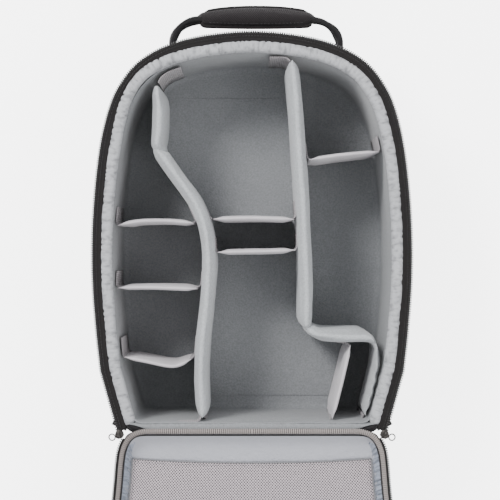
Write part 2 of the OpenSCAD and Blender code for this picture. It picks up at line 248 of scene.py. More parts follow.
LOOKS = {
    "shell": fabric("black_nylon", (0.013, 0.012, 0.013), plain_weave, 1.0, 0.06, 0.2, 0.6, 0.03,
                    wrinkle=0.7, wear=0.25, shine=0.16),
    "twill": fabric("black_twill", (0.020, 0.017, 0.018), twill_weave, 1.6, 0.32, 0.7, 0.5, 0.05,
                    wear=0.2, shine=0.22),
    "webbing": fabric("black_webbing", (0.014, 0.013, 0.014), webbing_weave, 1.3, 0.2, 0.5, 0.6, 0.05,
                      wear=0.2, shine=0.18),
    "air_mesh": fabric("black_air_mesh", (0.020, 0.020, 0.021), mesh_weave, 3.2, 0.5, 0.6, 0.8, 0.08,
                       shine=0.15),
    "back_mesh": fabric("back_air_mesh", (0.020, 0.020, 0.021), flat_mesh_weave, 3.2, 0.5, 0.6, 0.8,
                        0.08, shine=0.15),
    "tape": fabric("zip_tape", (0.015, 0.0135, 0.0135), ribbed, 0.9, 0.1, 0.35, 0.75, 0.04,
                   wear=0.15, shine=0.15),
    "padding": fabric("grey_padding", (0.39, 0.405, 0.415), brushed, 2.4, 0.3, 0.45, 0.95, 0.3,
                      mottle=0.14, wrinkle=0.9),
    "lining": fabric("grey_brushed_lining", (0.225, 0.232, 0.24), brushed, 2.2, 0.3, 0.42, 0.97, 0.3,
                     mottle=0.16, wrinkle=0.9),
    "bead": fabric("grey_edging", (0.41, 0.415, 0.43), plain_weave, 0.9, 0.06, 0.08, 0.8, 0.25,
                   mottle=0.2, wrinkle=0.7, gather=(5.5, 12, 3.0)),
    "pale": fabric("pale_nylon", (0.56, 0.53, 0.55), plain_weave, 0.7, 0.05, 0.05, 0.75, 0.3,
                   mottle=0.12, wrinkle=0.6),
    "satin": fabric("grey_satin", (0.42, 0.425, 0.465), plain_weave, 0.5, 0.03, 0.04, 0.40, 0.3,
                    mottle=0.12, wrinkle=1.6),
    # A darker, bluer copy of the satin for its gathered sides: painted shade of the gathers.
    "shaded_gathers": fabric("gathered_satin_painted_shade", (0.31, 0.34, 0.41), plain_weave, 0.5, 0.03, 0.04, 0.36, 0.3,
                      mottle=0.1, gather=(26, 3.8, 4.5)),
    "mesh": fabric("pocket_mesh", (0.40, 0.35, 0.37), mesh_weave, 4.1, 0.3, 0.9, 0.7, 0.2, mottle=0.05),
    "tab": fabric("hook_tape", (0.30, 0.28, 0.29), ribbed, 2.3, 0.25, 0.3, 0.9, 0.3),
    "binding": fabric("ribbed_binding", (0.22, 0.195, 0.185), ribbed, RIB_PITCH, 0.15, 0.75, 0.85, 0.25,
                      mottle=0.1),
    "thread": fabric("thread", (0.030, 0.029, 0.030), ribbed, 0.4, 0.05, 0.2, 0.7, 0.2),
    "grey_thread": fabric("grey_thread", (0.20, 0.20, 0.21), ribbed, 0.4, 0.05, 0.2, 0.7, 0.2),
    "coil": hard("zip_coil", (0.014, 0.013, 0.013), 0.45, scuff=0.2),
    "plastic": hard("black_acetal", (0.018, 0.018, 0.019), 0.4),
    "metal": hard("dark_metal", (0.050, 0.046, 0.043), 0.38, 0.85, 0.4, 0.01, 0.6),
}


# ---------------------------------------------------------------- paths and meshes

def spline(points, steps=8):
    """A smooth curve through points, as the frame's own outlines are drawn."""
    points = [Vector(p) for p in points]
    last = len(points) - 1
    drawn = []
    for i in range(last):
        a, b, c, d = points[max(i - 1, 0)], points[i], points[i + 1], points[min(i + 2, last)]
        for k in range(steps):
            t = k / steps
            drawn.append(0.5 * (2 * b + (c - a) * t + (2 * a - 5 * b + 4 * c - d) * t * t
                                + (3 * b - a - 3 * c + d) * t ** 3))
    return drawn + [points[last]]


def angles(count):
    return [2 * math.pi * k / count for k in range(count)]


def even(points, spacing=None, count=None, loop=False):
    """The same line with its points evenly spaced."""
    points = [Vector(p) for p in points]
    if loop:
        points.append(points[0].copy())
    run = [0.0]
    for a, b in zip(points, points[1:]):
        run.append(run[-1] + (b - a).length)
    if count is None:
        count = max(2, round(run[-1] / spacing) + (0 if loop else 1))
    drawn, i = [], 0
    for k in range(count):
        target = run[-1] * k / (count if loop else count - 1)
        while i < len(run) - 2 and run[i + 1] < target:
            i += 1
        share = (target - run[i]) / max(run[i + 1] - run[i], 1e-9)
        drawn.append(points[i].lerp(points[i + 1], min(share, 1.0)))
    return drawn


def outward(points, i, loop=False):
    """The unit vector to the left of a flat line at one of its points."""
    n = len(points)
    a = points[(i - 1) % n] if loop else points[max(i - 1, 0)]
    b = points[(i + 1) % n] if loop else points[min(i + 1, n - 1)]
    t = b - a
    return Vector((-t.y, t.x)).normalized()


def shifted(points, distance, loop=False):
    return [p.xy + distance * outward(points, i, loop) for i, p in enumerate(points)]


def smoothed(points, passes):
    for _ in range(passes):
        n = len(points)
        points = [(points[i - 1] + 2 * points[i] + points[(i + 1) % n]) / 4 for i in range(n)]
    return points


def up(height):
    return Vector((0, 0, height))


def raised(points, height):
    """Flat points, lifted to a height."""
    return [p.to_3d() + up(height) for p in points]


def ease(value):
    value = max(0.0, min(1.0, value))
    return value * value * (3 - 2 * value)


def uneven(point, size, seed=0.0):
    """Smooth noise from -1 to 1 at a point, with features of the size given."""
    return noise.noise(Vector(point) / size + Vector((seed, seed * 1.7, seed * 0.3)))


class Mesh:
    """A mesh put together from grids of points, in millimetres."""

    def __init__(self):
        self.points, self.faces, self.map = [], [], []

    def grid(self, rows, loop=False, ring=False, cap=False, run=None):
        """Quads between rows of points.

        A loop's last row joins its first, and a ring's last column its first. run is the distance along
        the piece at each row, where the map should keep to it exactly.
        """
        start, n, m = len(self.points), len(rows), len(rows[0])
        across = [0.0]
        for k in range(m):
            across.append(across[-1] + (rows[n // 2][(k + 1) % m] - rows[n // 2][k]).length)
        middle = m // 4
        along = list(run) if run else [0.0]
        for i in range(len(along) - 1, n):
            along.append(along[-1] + (rows[(i + 1) % n][middle] - rows[i][middle]).length)
        for row in rows:
            self.points.extend(row)
        for i in range(n if loop else n - 1):
            for k in range(m if ring else m - 1):
                i2, k2 = (i + 1) % n, (k + 1) % m
                here, ahead = start + i * m, start + i2 * m
                self.faces.append([here + k, here + k2, ahead + k2, ahead + k])
                self.map.append([(along[i], across[k]), (along[i], across[k + 1]),
                                 (along[i + 1], across[k + 1]), (along[i + 1], across[k])])
        if cap:
            for i, flip in ((0, True), (n - 1, False)):
                face = [start + i * m + k for k in range(m)]
                if flip:
                    face.reverse()
                self.faces.append(face)
                self.map.append([(self.points[v].x, self.points[v].y) for v in face])
        return self

    def solid(self, rows):
        """A closed form from rows of rings, with its two ends capped."""
        return self.grid(rows, ring=True, cap=True)

    def hoop(self, rows):
        return self.grid(rows, loop=True, ring=True)

    def cord(self, line, radius, count=8, flat=1.0):
        return self.solid(tube(line, radius, count, flat))

    def closed_cord(self, line, radius):
        return self.hoop(closed_tube(line, radius))

    def piece(self, name, body, look, slot, replaces=(), place=None, thick=0.0, bevel=0.0):
        """Turns the mesh into a Blender object that rides on a body of the frame."""
        data = bpy.data.meshes.new(name)
        place = place or Matrix()
        data.from_pydata([tuple(MM * (place @ p.to_3d())) for p in self.points], [], self.faces)
        uv = data.uv_layers.new(name="cloth")
        flat = [MM * c for face in self.map for corner in face for c in corner]
        uv.data.foreach_set("uv", flat)
        data.polygons.foreach_set("use_smooth", [True] * len(data.polygons))
        data.materials.append(LOOKS[look])
        data.validate()
        made = placed(name, data)
        if thick:
            modifier = made.modifiers.new("thickness", "SOLIDIFY")
            modifier.thickness = thick * MM
            modifier.offset = 0.0
        if bevel:
            modifier = made.modifiers.new("edges", "BEVEL")
            modifier.width = bevel * MM
            modifier.segments = 2
            modifier.limit_method = "ANGLE"
        bake_modifiers(made)
        upright(made)
        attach(made, body)
        if replaces:
            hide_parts(*replaces)
        return made


def placed(name, data):
    """A new object in the scene."""
    made = bpy.data.objects.new(name, data)
    bpy.context.scene.collection.objects.link(made)
    return made


def bake_modifiers(made):
    """Applies a piece's modifiers to its mesh."""
    if made.modifiers:
        graph = bpy.context.evaluated_depsgraph_get()
        data = bpy.data.meshes.new_from_object(made.evaluated_get(graph))
        made.modifiers.clear()
        made.data = data


CLOTH_FRAMES = 20


def swell(made, cap, start=1.2, voxel=5.0, pressure=4.0, after=None):
    """Blows a padded piece up as cloth, from a slightly smaller copy of itself, and keeps the result.

    cap(point) is how far a point of it may move from the piece's own shape, in millimetres.
    after(point) moves it for a seam or a channel once it is blown up.
    """
    scene = bpy.context.scene
    work = placed("swelling", made.data.copy())
    remesh = work.modifiers.new("voxels", "REMESH")
    remesh.mode = "VOXEL"
    remesh.voxel_size = voxel * MM
    remesh.use_smooth_shade = True
    bake_modifiers(work)
    own = [(v.co.copy(), v.normal.copy()) for v in work.data.vertices]
    for v, (place, normal) in zip(work.data.vertices, own):
        v.co = place - normal * start * MM
    cloth = work.modifiers.new("cloth", "CLOTH")
    cloth.settings.quality = 4
    cloth.settings.use_pressure = True
    cloth.settings.uniform_pressure_force = pressure
    cloth.settings.effector_weights.gravity = 0
    cloth.point_cache.frame_start = 1
    cloth.point_cache.frame_end = CLOTH_FRAMES
    for number in range(1, CLOTH_FRAMES + 1):
        scene.frame_set(number)
    settled = work.evaluated_get(bpy.context.evaluated_depsgraph_get()).to_mesh()
    ends = [v.co.copy() for v in settled.vertices]
    work.modifiers.clear()
    for v, (place, normal), end in zip(work.data.vertices, own, ends):
        step = end - place
        limit = cap(place / MM) * MM
        if step.length > limit:
            step *= limit / step.length
        v.co = place + step
    scene.frame_set(1)
    work.modifiers.new("smooth", "SUBSURF").levels = 1
    bake_modifiers(work)
    if after:
        for v in work.data.vertices:
            v.co = after(v.co / MM) * MM
    made.data = work.data
    made.data.polygons.foreach_set("use_smooth", [True] * len(made.data.polygons))
    bpy.data.objects.remove(work)
    return made


def upright(made):
    """Turns every face of a closed mesh outwards."""
    work = bmesh.new()
    work.from_mesh(made.data)
    bmesh.ops.recalc_face_normals(work, faces=work.faces)
    work.to_mesh(made.data)
    work.free()


def sweep(path, section, loop=False):
    """Rows of points: a section of (outwards, up) pairs at each point of a flat path.

    section(i, s) gets the point's number and its distance along the path.
    """
    rows, s = [], 0.0
    for i, p in enumerate(path):
        out = outward(path, i, loop)
        rows.append([(p.xy + a * out).to_3d() + up(b) for a, b in section(i, s)])
        if i + 1 < len(path):
            s += (path[i + 1] - p).length
    return rows


def oval(width, height, count, power=2.0, centre=(0.0, 0.0)):
    """A rounded section: power 2 is an ellipse, and a higher one is squarer."""
    drawn = []
    for k in range(count):
        angle = 2 * math.pi * k / count
        c, s = math.cos(angle), math.sin(angle)
        drawn.append((centre[0] + width / 2 * math.copysign(abs(c) ** (2 / power), c),
                      centre[1] + height / 2 * math.copysign(abs(s) ** (2 / power), s)))
    return drawn


def tube(path3d, radius, count=8, flat=1.0):
    """Rows for a round cord along a line in space."""
    rows, n = [], len(path3d)
    upright_axis, across_axis = up(1), Vector((1, 0, 0))
    for i, p in enumerate(path3d):
        t = (path3d[min(i + 1, n - 1)] - path3d[max(i - 1, 0)]).normalized()
        side = t.cross(upright_axis if abs(t.dot(upright_axis)) < 0.95 else across_axis).normalized()
        over = side.cross(t)
        rows.append([p + radius * (math.cos(a) * side + flat * math.sin(a) * over)
                     for a in angles(count)])
    return rows


def stitches(mesh, line, length=3.2, gap=1.3, radius=0.38):
    """A row of short raised stitches along a line in space."""
    line = even(line, length + gap)
    for a, b in zip(line, line[1:]):
        step = (b - a).normalized()
        ends = [a + step * (gap / 2 + length * t) for t in (0.0, 0.25, 0.75, 1.0)]
        lift = [0.2, 1.0, 1.0, 0.2]
        rows = tube(ends, radius, 6)
        for row, p, size in zip(rows, ends, lift):
            row[:] = [p + (q - p) * size for q in row]
        mesh.solid(rows)
    return mesh


# ---------------------------------------------------------------- outlines

CORNER = (163, -238)
RIM_SIDE = [(183.5, -165), (188.5, -120), (193, -60), (193.5, -5), (190.5, 50), (184, 105), (173.5, 150),
            (160, 180), (138, 207), (104, 227), (60, 239)]
RIM_PEAK = (0, 244.5)
BOTTOM_Y = low("bottom_gusset").y
WALL_INSET = 13.0
FLOOR_Z = high("floor_liner").z
BACK_Z = low("back_panel").z
WALL_TOP = high("left_gusset").z
RIM_TOP = high("rim_bead").z
TAPE_Z = (low("shell_zip_tape").z + high("shell_zip_tape").z) / 2

left_side = [(-x, y) for x, y in RIM_SIDE]
rim_curve = spline(left_side + [RIM_PEAK] + RIM_SIDE[::-1])
rim_path = [Vector((-CORNER[0], CORNER[1]))] + rim_curve + [Vector(CORNER)]


LOOP_POINTS = 420


def shell_loop(inset, count=LOOP_POINTS, rounding=10):
    """The bag's closed outline, drawn in from the teeth, from the middle of its lower edge clockwise."""
    run_on = (rim_path[0] - rim_path[1]).normalized() * 30
    run_off = Vector((-run_on.x, run_on.y))
    whole = [rim_path[0] + run_on] + rim_path + [rim_path[-1] + run_off]
    side = shifted(even(whole, 3), -inset)
    floor_y = BOTTOM_Y + inset - WALL_INSET
    side = [p for p in side if p.y > floor_y]
    ends = [Vector((side[0].x, floor_y)), Vector((side[-1].x, floor_y))]
    loop = [Vector((0, floor_y)), ends[0]] + side + [ends[1]]
    return smoothed(even(loop, count=count, loop=True), rounding)


def shrunk(loop, share, centre=Vector((0, 0))):
    return [centre + (p - centre) * share for p in loop]


HINGE = Vector(RECORD_JOINTS["lid_hinge"]["pos_m"]) / MM
LID_SLOPE = -RECORD_JOINTS["lid_hinge"]["range_deg"][0] - 180
LID = Matrix.Translation(HINGE) @ Matrix.Rotation(math.radians(LID_SLOPE), 4, "X")
HINGE_HALF = 128
LID_SIDE = [(HINGE_HALF, 0), (141, 3.5), (150, 12), (156, 26), (159, 45), (161, 66), (164, 92),
            (168.5, 122), (174.5, 158), (180, 198), (183.5, 240), (183, 288), (177.5, 338), (167, 384),
            (152.5, 414), (131, 441), (99, 459), (57, 470)]
LID_LENGTH = 474
lid_right = [(x, -v) for x, v in LID_SIDE]
lid_left = [(-x, -v) for x, v in LID_SIDE]
lid_path = spline(lid_right + [(0, -LID_LENGTH)] + lid_left[::-1])
LID_CENTRE = Vector((0, -235))


def lid_loop(inset, start, count=LOOP_POINTS, rounding=8):
    """The lid's closed outline, drawn in from its binding, past a line parallel to the hinge."""
    side = [p for p in shifted(even(lid_path, 3), -inset) if p.y < -start]
    loop = [Vector((0, -start)), Vector((side[0].x, -start))] + side + [Vector((side[-1].x, -start))]
    return smoothed(even(loop, count=count, loop=True), rounding)


def rings(loops):
    """Rows for a closed form from (loop, height) pairs. A height may be a function of the point."""
    rows = []
    for loop, height in loops:
        rows.append([p.to_3d() + up(height(p) if callable(height) else height) for p in loop])
    return rows


# ---------------------------------------------------------------- shell

def lower_edge(p, lift=9.0):
    """How much higher the wall stands along the hinge."""
    return lift * ease((-212 - p.y) / 14)


def rumple(rows, amount, size, seed, direction=None):
    """Moves points by smooth noise, away from the middle of the piece or along one direction."""
    for row in rows:
        for k, p in enumerate(row):
            away = direction or Vector((p.x, p.y, 0)).normalized()
            row[k] = p + away * amount * (uneven(p, size, seed) + 0.4 * uneven(p, size / 2.6, seed + 5))
    return rows


def make_shell():
    """The padded black outer: one closed form with the walls, the back and the space inside."""
    def top(z):
        return lambda p: z + lower_edge(p)
    profile = [(40, BACK_Z + 10), (26, BACK_Z + 10.5), (24.2, BACK_Z + 14), (23.5, 60), (23.5, 110),
               (23, 150), (21, top(156)), (17, top(158.5)), (14, top(158)), (12.2, top(154)),
               (11.2, 140), (10.2, 118), (9.8, 92), (10.2, 66), (11, 44), (12, 30), (13.4, 23),
               (16.5, BACK_Z + 4), (22, BACK_Z + 0.8), (34, BACK_Z + 0.2)]
    rows = rings([(shell_loop(inset), z) for inset, z in profile])
    rumple(rows, 0.9, 34, 2.0)
    inner, outer = rows[0], rows[-1]
    for share in (0.7, 0.4, 0.12):
        rows.insert(0, [Vector((p.x * share, p.y * share, p.z)) for p in inner])
        rows.append([Vector((p.x * share, p.y * share, p.z)) for p in outer])
    shell = Mesh().solid(rows)
    made = shell.piece("shell_cloth", "shell", "shell", "shell_fabric",
                       ["left_gusset", "right_gusset", "top_gusset", "bottom_gusset", "back_panel"])

    piping = Mesh()
    for inset, z, radius in ((13.2, BACK_Z + 5, 2.2), (10.6, 146, 1.3)):
        line = raised(shell_loop(inset), z)
        piping.closed_cord(line, radius)
    piping.piece("shell_piping", "shell", "tape", "shell_fabric")
    seam = Mesh()
    for inset, z in ((10.7, 140), (12.2, 29)):
        loop = shell_loop(inset - 0.1)
        stitches(seam, raised(loop + loop[:1], z))
    seam.piece("shell_seams", "shell", "thread", "shell_fabric")


def closed_tube(line, radius, count=8):
    """Rows for a round cord along a closed line."""
    rows, n = [], len(line)
    for i, p in enumerate(line):
        t = (line[(i + 1) % n] - line[i - 1]).normalized()
        side = t.cross(up(1)).normalized()
        over = side.cross(t)
        rows.append([p + radius * (math.cos(a) * side + math.sin(a) * over)
                     for a in angles(count)])
    return rows


def make_lining():
    """The brushed lining: one sheet up the inside of the walls and across the padded floor."""
    def top(p):
        return WALL_TOP + 4 + lower_edge(p, 6)
    profile = [(23.6, top), (24.4, 156), (25.2, 140), (25.6, 115), (25.8, 85), (26, 58), (26.6, 40),
               (28, FLOOR_Z + 5), (31, FLOOR_Z + 1.8), (36, FLOOR_Z + 0.6)]
    rows = rings([(shell_loop(inset), z) for inset, z in profile])
    rumple(rows, 0.7, 30, 9.0)
    last = shell_loop(36)

    def soft_floor(p):
        return FLOOR_Z + 0.6 + 0.9 * (1 + uneven((p.x, p.y, 0), 55, 4))
    for share in (0.93, 0.84, 0.72, 0.6, 0.48, 0.36, 0.24, 0.12, 0.04):
        rows.append([p.to_3d() + up(soft_floor(p)) for p in shrunk(last, share)])
    lining = Mesh().grid(rows, ring=True)
    lining.faces.append([len(lining.points) - LOOP_POINTS + k for k in range(LOOP_POINTS)])
    lining.map.append([(p.x, p.y) for p in lining.points[-LOOP_POINTS:]])
    made = lining.piece("inner_lining", "shell", "lining", "lining", ["wall_liner", "floor_liner"],
                        thick=1.2)
    seam = Mesh()
    z = FLOOR_Z + 2.6
    corners = [(84, 186), (118, 160), (136, 120), (84, 120), (84, 186)]
    stitches(seam, [Vector((x, y, z)) for x, y in corners])
    stitches(seam, [Vector((x, -206, z)) for x in (-120, 120)])
    stitches(seam, [Vector((x, 176, z)) for x in (-84, 36)])
    seam.piece("floor_seams", "shell", "grey_thread", "lining")


BEAD_INSET = 18.2
BEAD_Z = 162.1


def make_bead():
    """The padded edging round the rim, gathered where it is sewn to the zip."""
    path = even(rim_path, 1.6)
    length = 1.6 * (len(path) - 1)
    count = 26
    corner_left = Vector((-150, 192))

    def section(i, s):
        end = min(s, length - s)
        size = 0.35 + 0.65 * ease(end / 9)
        beat = s / 8.6 + 1.8 * uneven((s, 0, 0), 26, 3)
        fold = max(0.0, math.sin(2 * math.pi * beat)) ** 2
        fold *= ease(0.45 + 1.1 * uneven((s, 3, 0), 17, 7))
        wide = 14.6 + 0.7 * uneven((s, 9, 0), 16, 1)
        drawn = []
        near = ease(1 - (path[i] - corner_left).length / 90)
        for k, (a, b) in enumerate(oval(wide * size, 15.4 * size, count, 2.5)):
            angle = 2 * math.pi * k / count
            gather = max(0.0, math.cos(angle - 0.75)) ** 3
            hem = max(0.0, math.cos(angle - 2.5)) ** 6
            pull = 1 - 0.21 * fold * gather - 0.06 * fold * hem
            ripple = 0.4 * uneven((s, k, 0), 12, 8)
            drawn.append((a * pull - BEAD_INSET + 3.2 * near, b * pull + BEAD_Z + ripple))
        return drawn

    made = Mesh().solid(sweep(path, section)).piece(
        "rim_edging", "shell", "bead", "bead", ["rim_bead"])
    seam = Mesh()
    inner = even(rim_path, 4)
    stitches(seam, raised(shifted(inner, -25.4), WALL_TOP + 1)[3:-3], 2.6, 1.6, 0.3)
    seam.piece("rim_seam", "shell", "grey_thread", "bead")


def zip_tape(path, inner, outer, z, wave=0.35, seed=0.0):
    """Rows for a zip's woven tape, with the slight ripple that sewing gives it."""
    def section(i, s):
        ripple = wave * uneven((s, 0, 0), 14, seed)
        top = []
        for t in (0, 0.15, 0.3, 0.36, 0.42, 0.6, 0.8, 1):
            rise = 0.55 + 0.25 * math.sin(math.pi * t) + ripple * (1 - t)
            top.append((inner + (outer - inner) * t, rise))
        top[3] = (top[3][0], top[3][1] - 0.5)
        under = [(a, b - 1.0) for a, b in reversed(top)]
        return [(a, z + b) for a, b in top + under]
    return sweep(path, section)


def zip_teeth(mesh, path, inner, outer, z, pitch=2.7):
    """A coil's teeth, one rounded loop to a step, leaning a little along the tape."""
    line = even(path, pitch)
    for i, p in enumerate(line[:-1]):
        out = outward(line, i)
        ahead = Vector((out.y, -out.x))
        rows = []
        for t, wide, tall in ((0.0, 2.0, 2.4), (0.35, 2.2, 3.2), (0.75, 2.0, 3.0), (1.0, 1.2, 1.6)):
            centre = p.xy + out * (inner + (outer - inner) * t) + ahead * 0.5 * t
            rows.append([(centre + ahead * a).to_3d() + up(z + b) for a, b in oval(wide, tall, 6)])
        mesh.solid(rows)
    return mesh


def make_shell_zip():
    path = even(rim_path, 2.5)
    Mesh().solid(zip_tape(path, -13, -1.6, TAPE_Z - 0.4)).piece(
        "shell_zip_cloth", "shell", "tape", "zip_tape", ["shell_zip_tape"])
    zip_teeth(Mesh(), rim_path, -4.2, 0.3, TAPE_Z).piece(
        "shell_zip_coil", "shell", "coil", "zip_teeth", ["shell_zip_teeth"])
    seam = Mesh()
    stitches(seam, raised(shifted(path, -6.2), TAPE_Z + 0.7), 2.4, 1.2, 0.3)
    seam.piece("shell_zip_seam", "shell", "thread", "zip_tape")


make_shell()
make_lining()
make_bead()
make_shell_zip()


# ---------------------------------------------------------------- dividers

LEFT_LONG = [(-114, 181), (-113, 156), (-114, 128), (-116, 106), (-110, 96), (-93, 72), (-71, 42),
             (-59, 16), (-53.5, -10), (-52, -38), (-54, -66), (-56.5, -96), (-60, -132), (-62, -170),
             (-61, -202), (-60, -224)]
RIGHT_LONG = [(47, 212), (51, 184), (54.5, 143), (57.5, 101), (61, 46), (64, -8), (65.5, -56), (65, -96),
              (66, -112), (76, -121), (94, -123), (118, -123), (138, -123), (148, -127)]
RIGHT_ARM = [(148, -127), (153, -142), (149.5, -171), (136, -221)]
SHORT = {
    "left_upper": [(-163, 11), (-136, 15.5), (-100, 16), (-71, 13.5)],
    "left_middle": [(-163, -65.5), (-115, -64.5), (-66, -66)],
    "left_lower": [(-156, -149), (-125, -155), (-95, -160), (-74, -152)],
    "right_upper": [(69.5, 90), (112, 96), (154.5, 100)],
    "centre_upper": [(-47, 18.5), (5, 19.5), (51, 18)],
    "centre_lower": [(-41.5, -22), (8, -21), (53, -19)],
    "right_lower": [(119, -134.5), (109, -178), (97, -224)],
}
STAND_Z = FLOOR_Z + 2.2


def padded_panel(mesh, points, thick, top, pinches=(), end=8.0, tip=0.35, seed=0.0, count=30):
    """A foam divider in its cloth, full in the middle and drawn in at its ends, edges and creases."""
    path = even(spline(points), 2.6)
    total = 2.6 * (len(path) - 1)

    def section(i, s):
        size = tip + (1 - tip) * ease(min(s, total - s) / end)
        for at in pinches:
            size = min(size, 0.55 + 0.45 * ease((path[i] - Vector(at[0])).length / 6))
        drawn = []
        for a, b in oval(thick, top - STAND_Z, count, 3.2, (0, (top + STAND_Z) / 2)):
            p = (path[i].x, path[i].y, b)
            puff = 1 + 0.07 * uneven(p, 26, seed) + 0.035 * uneven(p, 9, seed + 2)
            drop = 2.0 * (1 - size) * (1 if b > 100 else 0)
            drawn.append((a * size * puff + 0.8 * uneven((s, b, 0), 60, seed), b - drop))
        return drawn

    return mesh.solid(sweep(path, section))


def flap(mesh, points, low_z, high_z, slant, thick=1.5):
    """A stiff hook-and-loop tab that folds off a divider's end and lies along the next face."""
    path = even(spline(points), 1.5)

    def section(i, s):
        share = i / (len(path) - 1)
        top = high_z - slant * share
        return [(-thick / 2, low_z), (-thick / 2, (low_z + top) / 2), (-thick / 2, top - 1), (0, top),
                (thick / 2, top - 1), (thick / 2, (low_z + top) / 2), (thick / 2, low_z)]

    return mesh.solid(sweep(path, section))


# Where a long divider is sewn flat so that it folds: the point and the direction of the seam.
CREASES = {"left_long": [((-115.5, 103), (-0.98, 0.2))], "right_long": [((66.5, -114), (-0.8, -0.6))]}


def creased(p, creases):
    """Draws a blown-up divider in along its fold."""
    for at, along in creases:
        off = p.xy - Vector(at)
        from_seam = off.dot(Vector((-along[1], along[0])))
        if off.length < 14 and p.z > STAND_Z + 8:
            depth = math.exp(-(from_seam / 2.2) ** 2)
            side = off.dot(Vector(along))
            p = p - Vector((along[0], along[1], 0)) * side * 0.22 * depth
            p.z -= 4.0 * depth * ease((p.z - 145) / 14)
    return p


def crease_seams(name, node, made):
    seam = Mesh()
    for at, along in CREASES[name]:
        near = [v.co / MM for v in made.data.vertices if (v.co.xy / MM - Vector(at)).length < 5]
        z = max(p.z for p in near)
        line = [Vector(at) + Vector(along) * t for t in (-5.5, -3, 0, 3, 5.5)]
        drop = [1.6, 0.5, 0, 0.5, 1.6]
        stitches(seam, [p.to_3d() + up(z - d + 0.1) for p, d in zip(line, drop)], 1.8, 0.9, 0.32)
    seam.piece(name + "_crease", node, "grey_thread", "padding")


# Each divider's tabs: a route, the height of its upper edge and how far that slopes down to its tip.
TABS = {
    "left_long": [([(-113, 183), (-109, 190), (-100, 196.4), (-86, 201.8)], 161, 5),
                  ([(-61, -220), (-65, -225.6), (-74, -226.2), (-90, -226.2)], 164, 6),
                  ([(-59, -220), (-55, -225.6), (-49, -226.2), (-40, -226.2)], 150, 30)],
    "right_long": [([(46, 209), (41, 213.2), (33, 214.2), (21, 214.8)], 161, 6),
                   ([(135.6, -219), (134, -225.4), (128, -226.2), (113, -226.2)], 150, 40)],
    "left_upper": [([(-161, 11.5), (-164.6, 14.5), (-165, 22), (-164.7, 34)], 148, 12),
                   ([(-73, 13.8), (-68.6, 16.2), (-71.4, 23), (-77, 35)], 148, 14)],
    "left_middle": [([(-161, -65), (-165, -62), (-165.2, -55), (-165, -45)], 147, 10),
                    ([(-68, -65.6), (-62.8, -62), (-61.6, -55), (-61.2, -46)], 148, 16)],
    "left_lower": [([(-154, -150), (-156.9, -146), (-158.2, -137), (-159.4, -126)], 148, 8),
                   ([(-76, -152), (-70.7, -149), (-69.4, -140), (-68.6, -125)], 146, 16)],
    "right_upper": [([(152.4, 100), (155.2, 103), (154.2, 110), (152.2, 120)], 149, 8),
                    ([(71.6, 90.2), (67.5, 94), (66.4, 102), (65.6, 111)], 148, 14)],
    "centre_upper": [([(-48.6, 19), (-52.4, 22), (-55.4, 29), (-59.3, 37)], 147, 16),
                     ([(49.5, 18.5), (53.2, 22), (53.4, 30), (52.7, 42)], 147, 16)],
    "centre_lower": [([(-42.6, -21.8), (-44, -18), (-44.9, -10), (-45.3, -4)], 147, 14),
                     ([(52, -19.3), (55, -16), (55.4, -9), (54.9, 2)], 147, 14)],
    "right_lower": [([(118, -136), (116.4, -132.8), (112, -131.8), (104, -131.6)], 150, 10),
                    ([(97.6, -222), (95, -225.6), (86, -226.2), (75, -226.2)], 149, 46)],
}
TAB_FOOT = 44


def make_dividers():
    panels = {"left_long": [(LEFT_LONG, 14.0)], "right_long": [(RIGHT_LONG, 14.0), (RIGHT_ARM, 5.0)]}
    for name, points in SHORT.items():
        panels[name] = [(points, 7.2)]
    for seed, (name, parts) in enumerate(panels.items()):
        node = name + "_divider"
        long = name in CREASES
        form = Mesh()
        for points, thick in parts:
            padded_panel(form, points, thick, high(node).z + 1, CREASES.get(name, ()), 8 if long else 14,
                         0.55 if long else 0.22, seed, 30 if long else 24)
        made = form.piece(name + "_pad", node, "padding" if long else "pale", "padding", [node])
        if long:
            swell(made, lambda p: 0.5 + 1.6 * ease((p.z - STAND_Z - 4) / 30), voxel=4.0,
                  after=lambda p: creased(p, CREASES[name]))
            crease_seams(name, node, made)
        tabs = Mesh()
        for route, tip, slope in TABS[name]:
            flap(tabs, route, TAB_FOOT, tip, slope)
        tabs.piece(name + "_flaps", node, "tab", "padding", [name + "_tabs"])


make_dividers()


# ---------------------------------------------------------------- sewn on the outside

# The padded wall's face: a height, and how far inside the teeth it lies there.
OUTER = [(16, 16.5), (23, 13.4), (30, 12), (44, 11), (66, 10.2), (92, 9.8), (118, 10.2), (140, 11.2),
         (154, 12.2)]


def outer_inset(z):
    """How far the padded wall's face lies inside the teeth at a height."""
    for (z1, a), (z2, b) in zip(OUTER, OUTER[1:]):
        if z <= z2:
            return a + (b - a) * max(0.0, z - z1) / (z2 - z1)
    return OUTER[-1][1]


def wall_part(test, spacing=3.0):
    """The stretch of the rim's path where test(point) is true."""
    return [p for p in even(rim_path, spacing) if test(p)]


def patch(mesh, path, z1, z2, thick, bulge=0.0, hem=0.0, lift=0.6, rows=12):
    """A flat piece sewn to the outside of a wall, with its edges turned in."""
    total = sum((b - a).length for a, b in zip(path, path[1:]))

    def section(i, s):
        side = ease(min(s, total - s) / 12)
        edge = ease(min(s, total - s) / 2.5)
        front, back = [], []
        for k in range(rows + 1):
            z = z1 + (z2 - z1) * k / rows
            t = k / rows
            rise = bulge * side * ease(t * 3) * (1 - 0.35 * ease((t - 0.8) * 5))
            beat = s / 4.2 + 2 * uneven((s, 0, 0), 25, 3)
            gather = hem * math.sin(beat) * ease((t - 0.6) * 2.5) * side
            skin = -outer_inset(z) + lift
            thin = 0.35 + 0.65 * min(edge, ease(min(t, 1 - t) * 14))
            front.append((skin + thick * thin + rise + gather, z))
            back.append((skin - 1.2, z))
        return front + back[::-1]

    return mesh.solid(sweep(path, section))


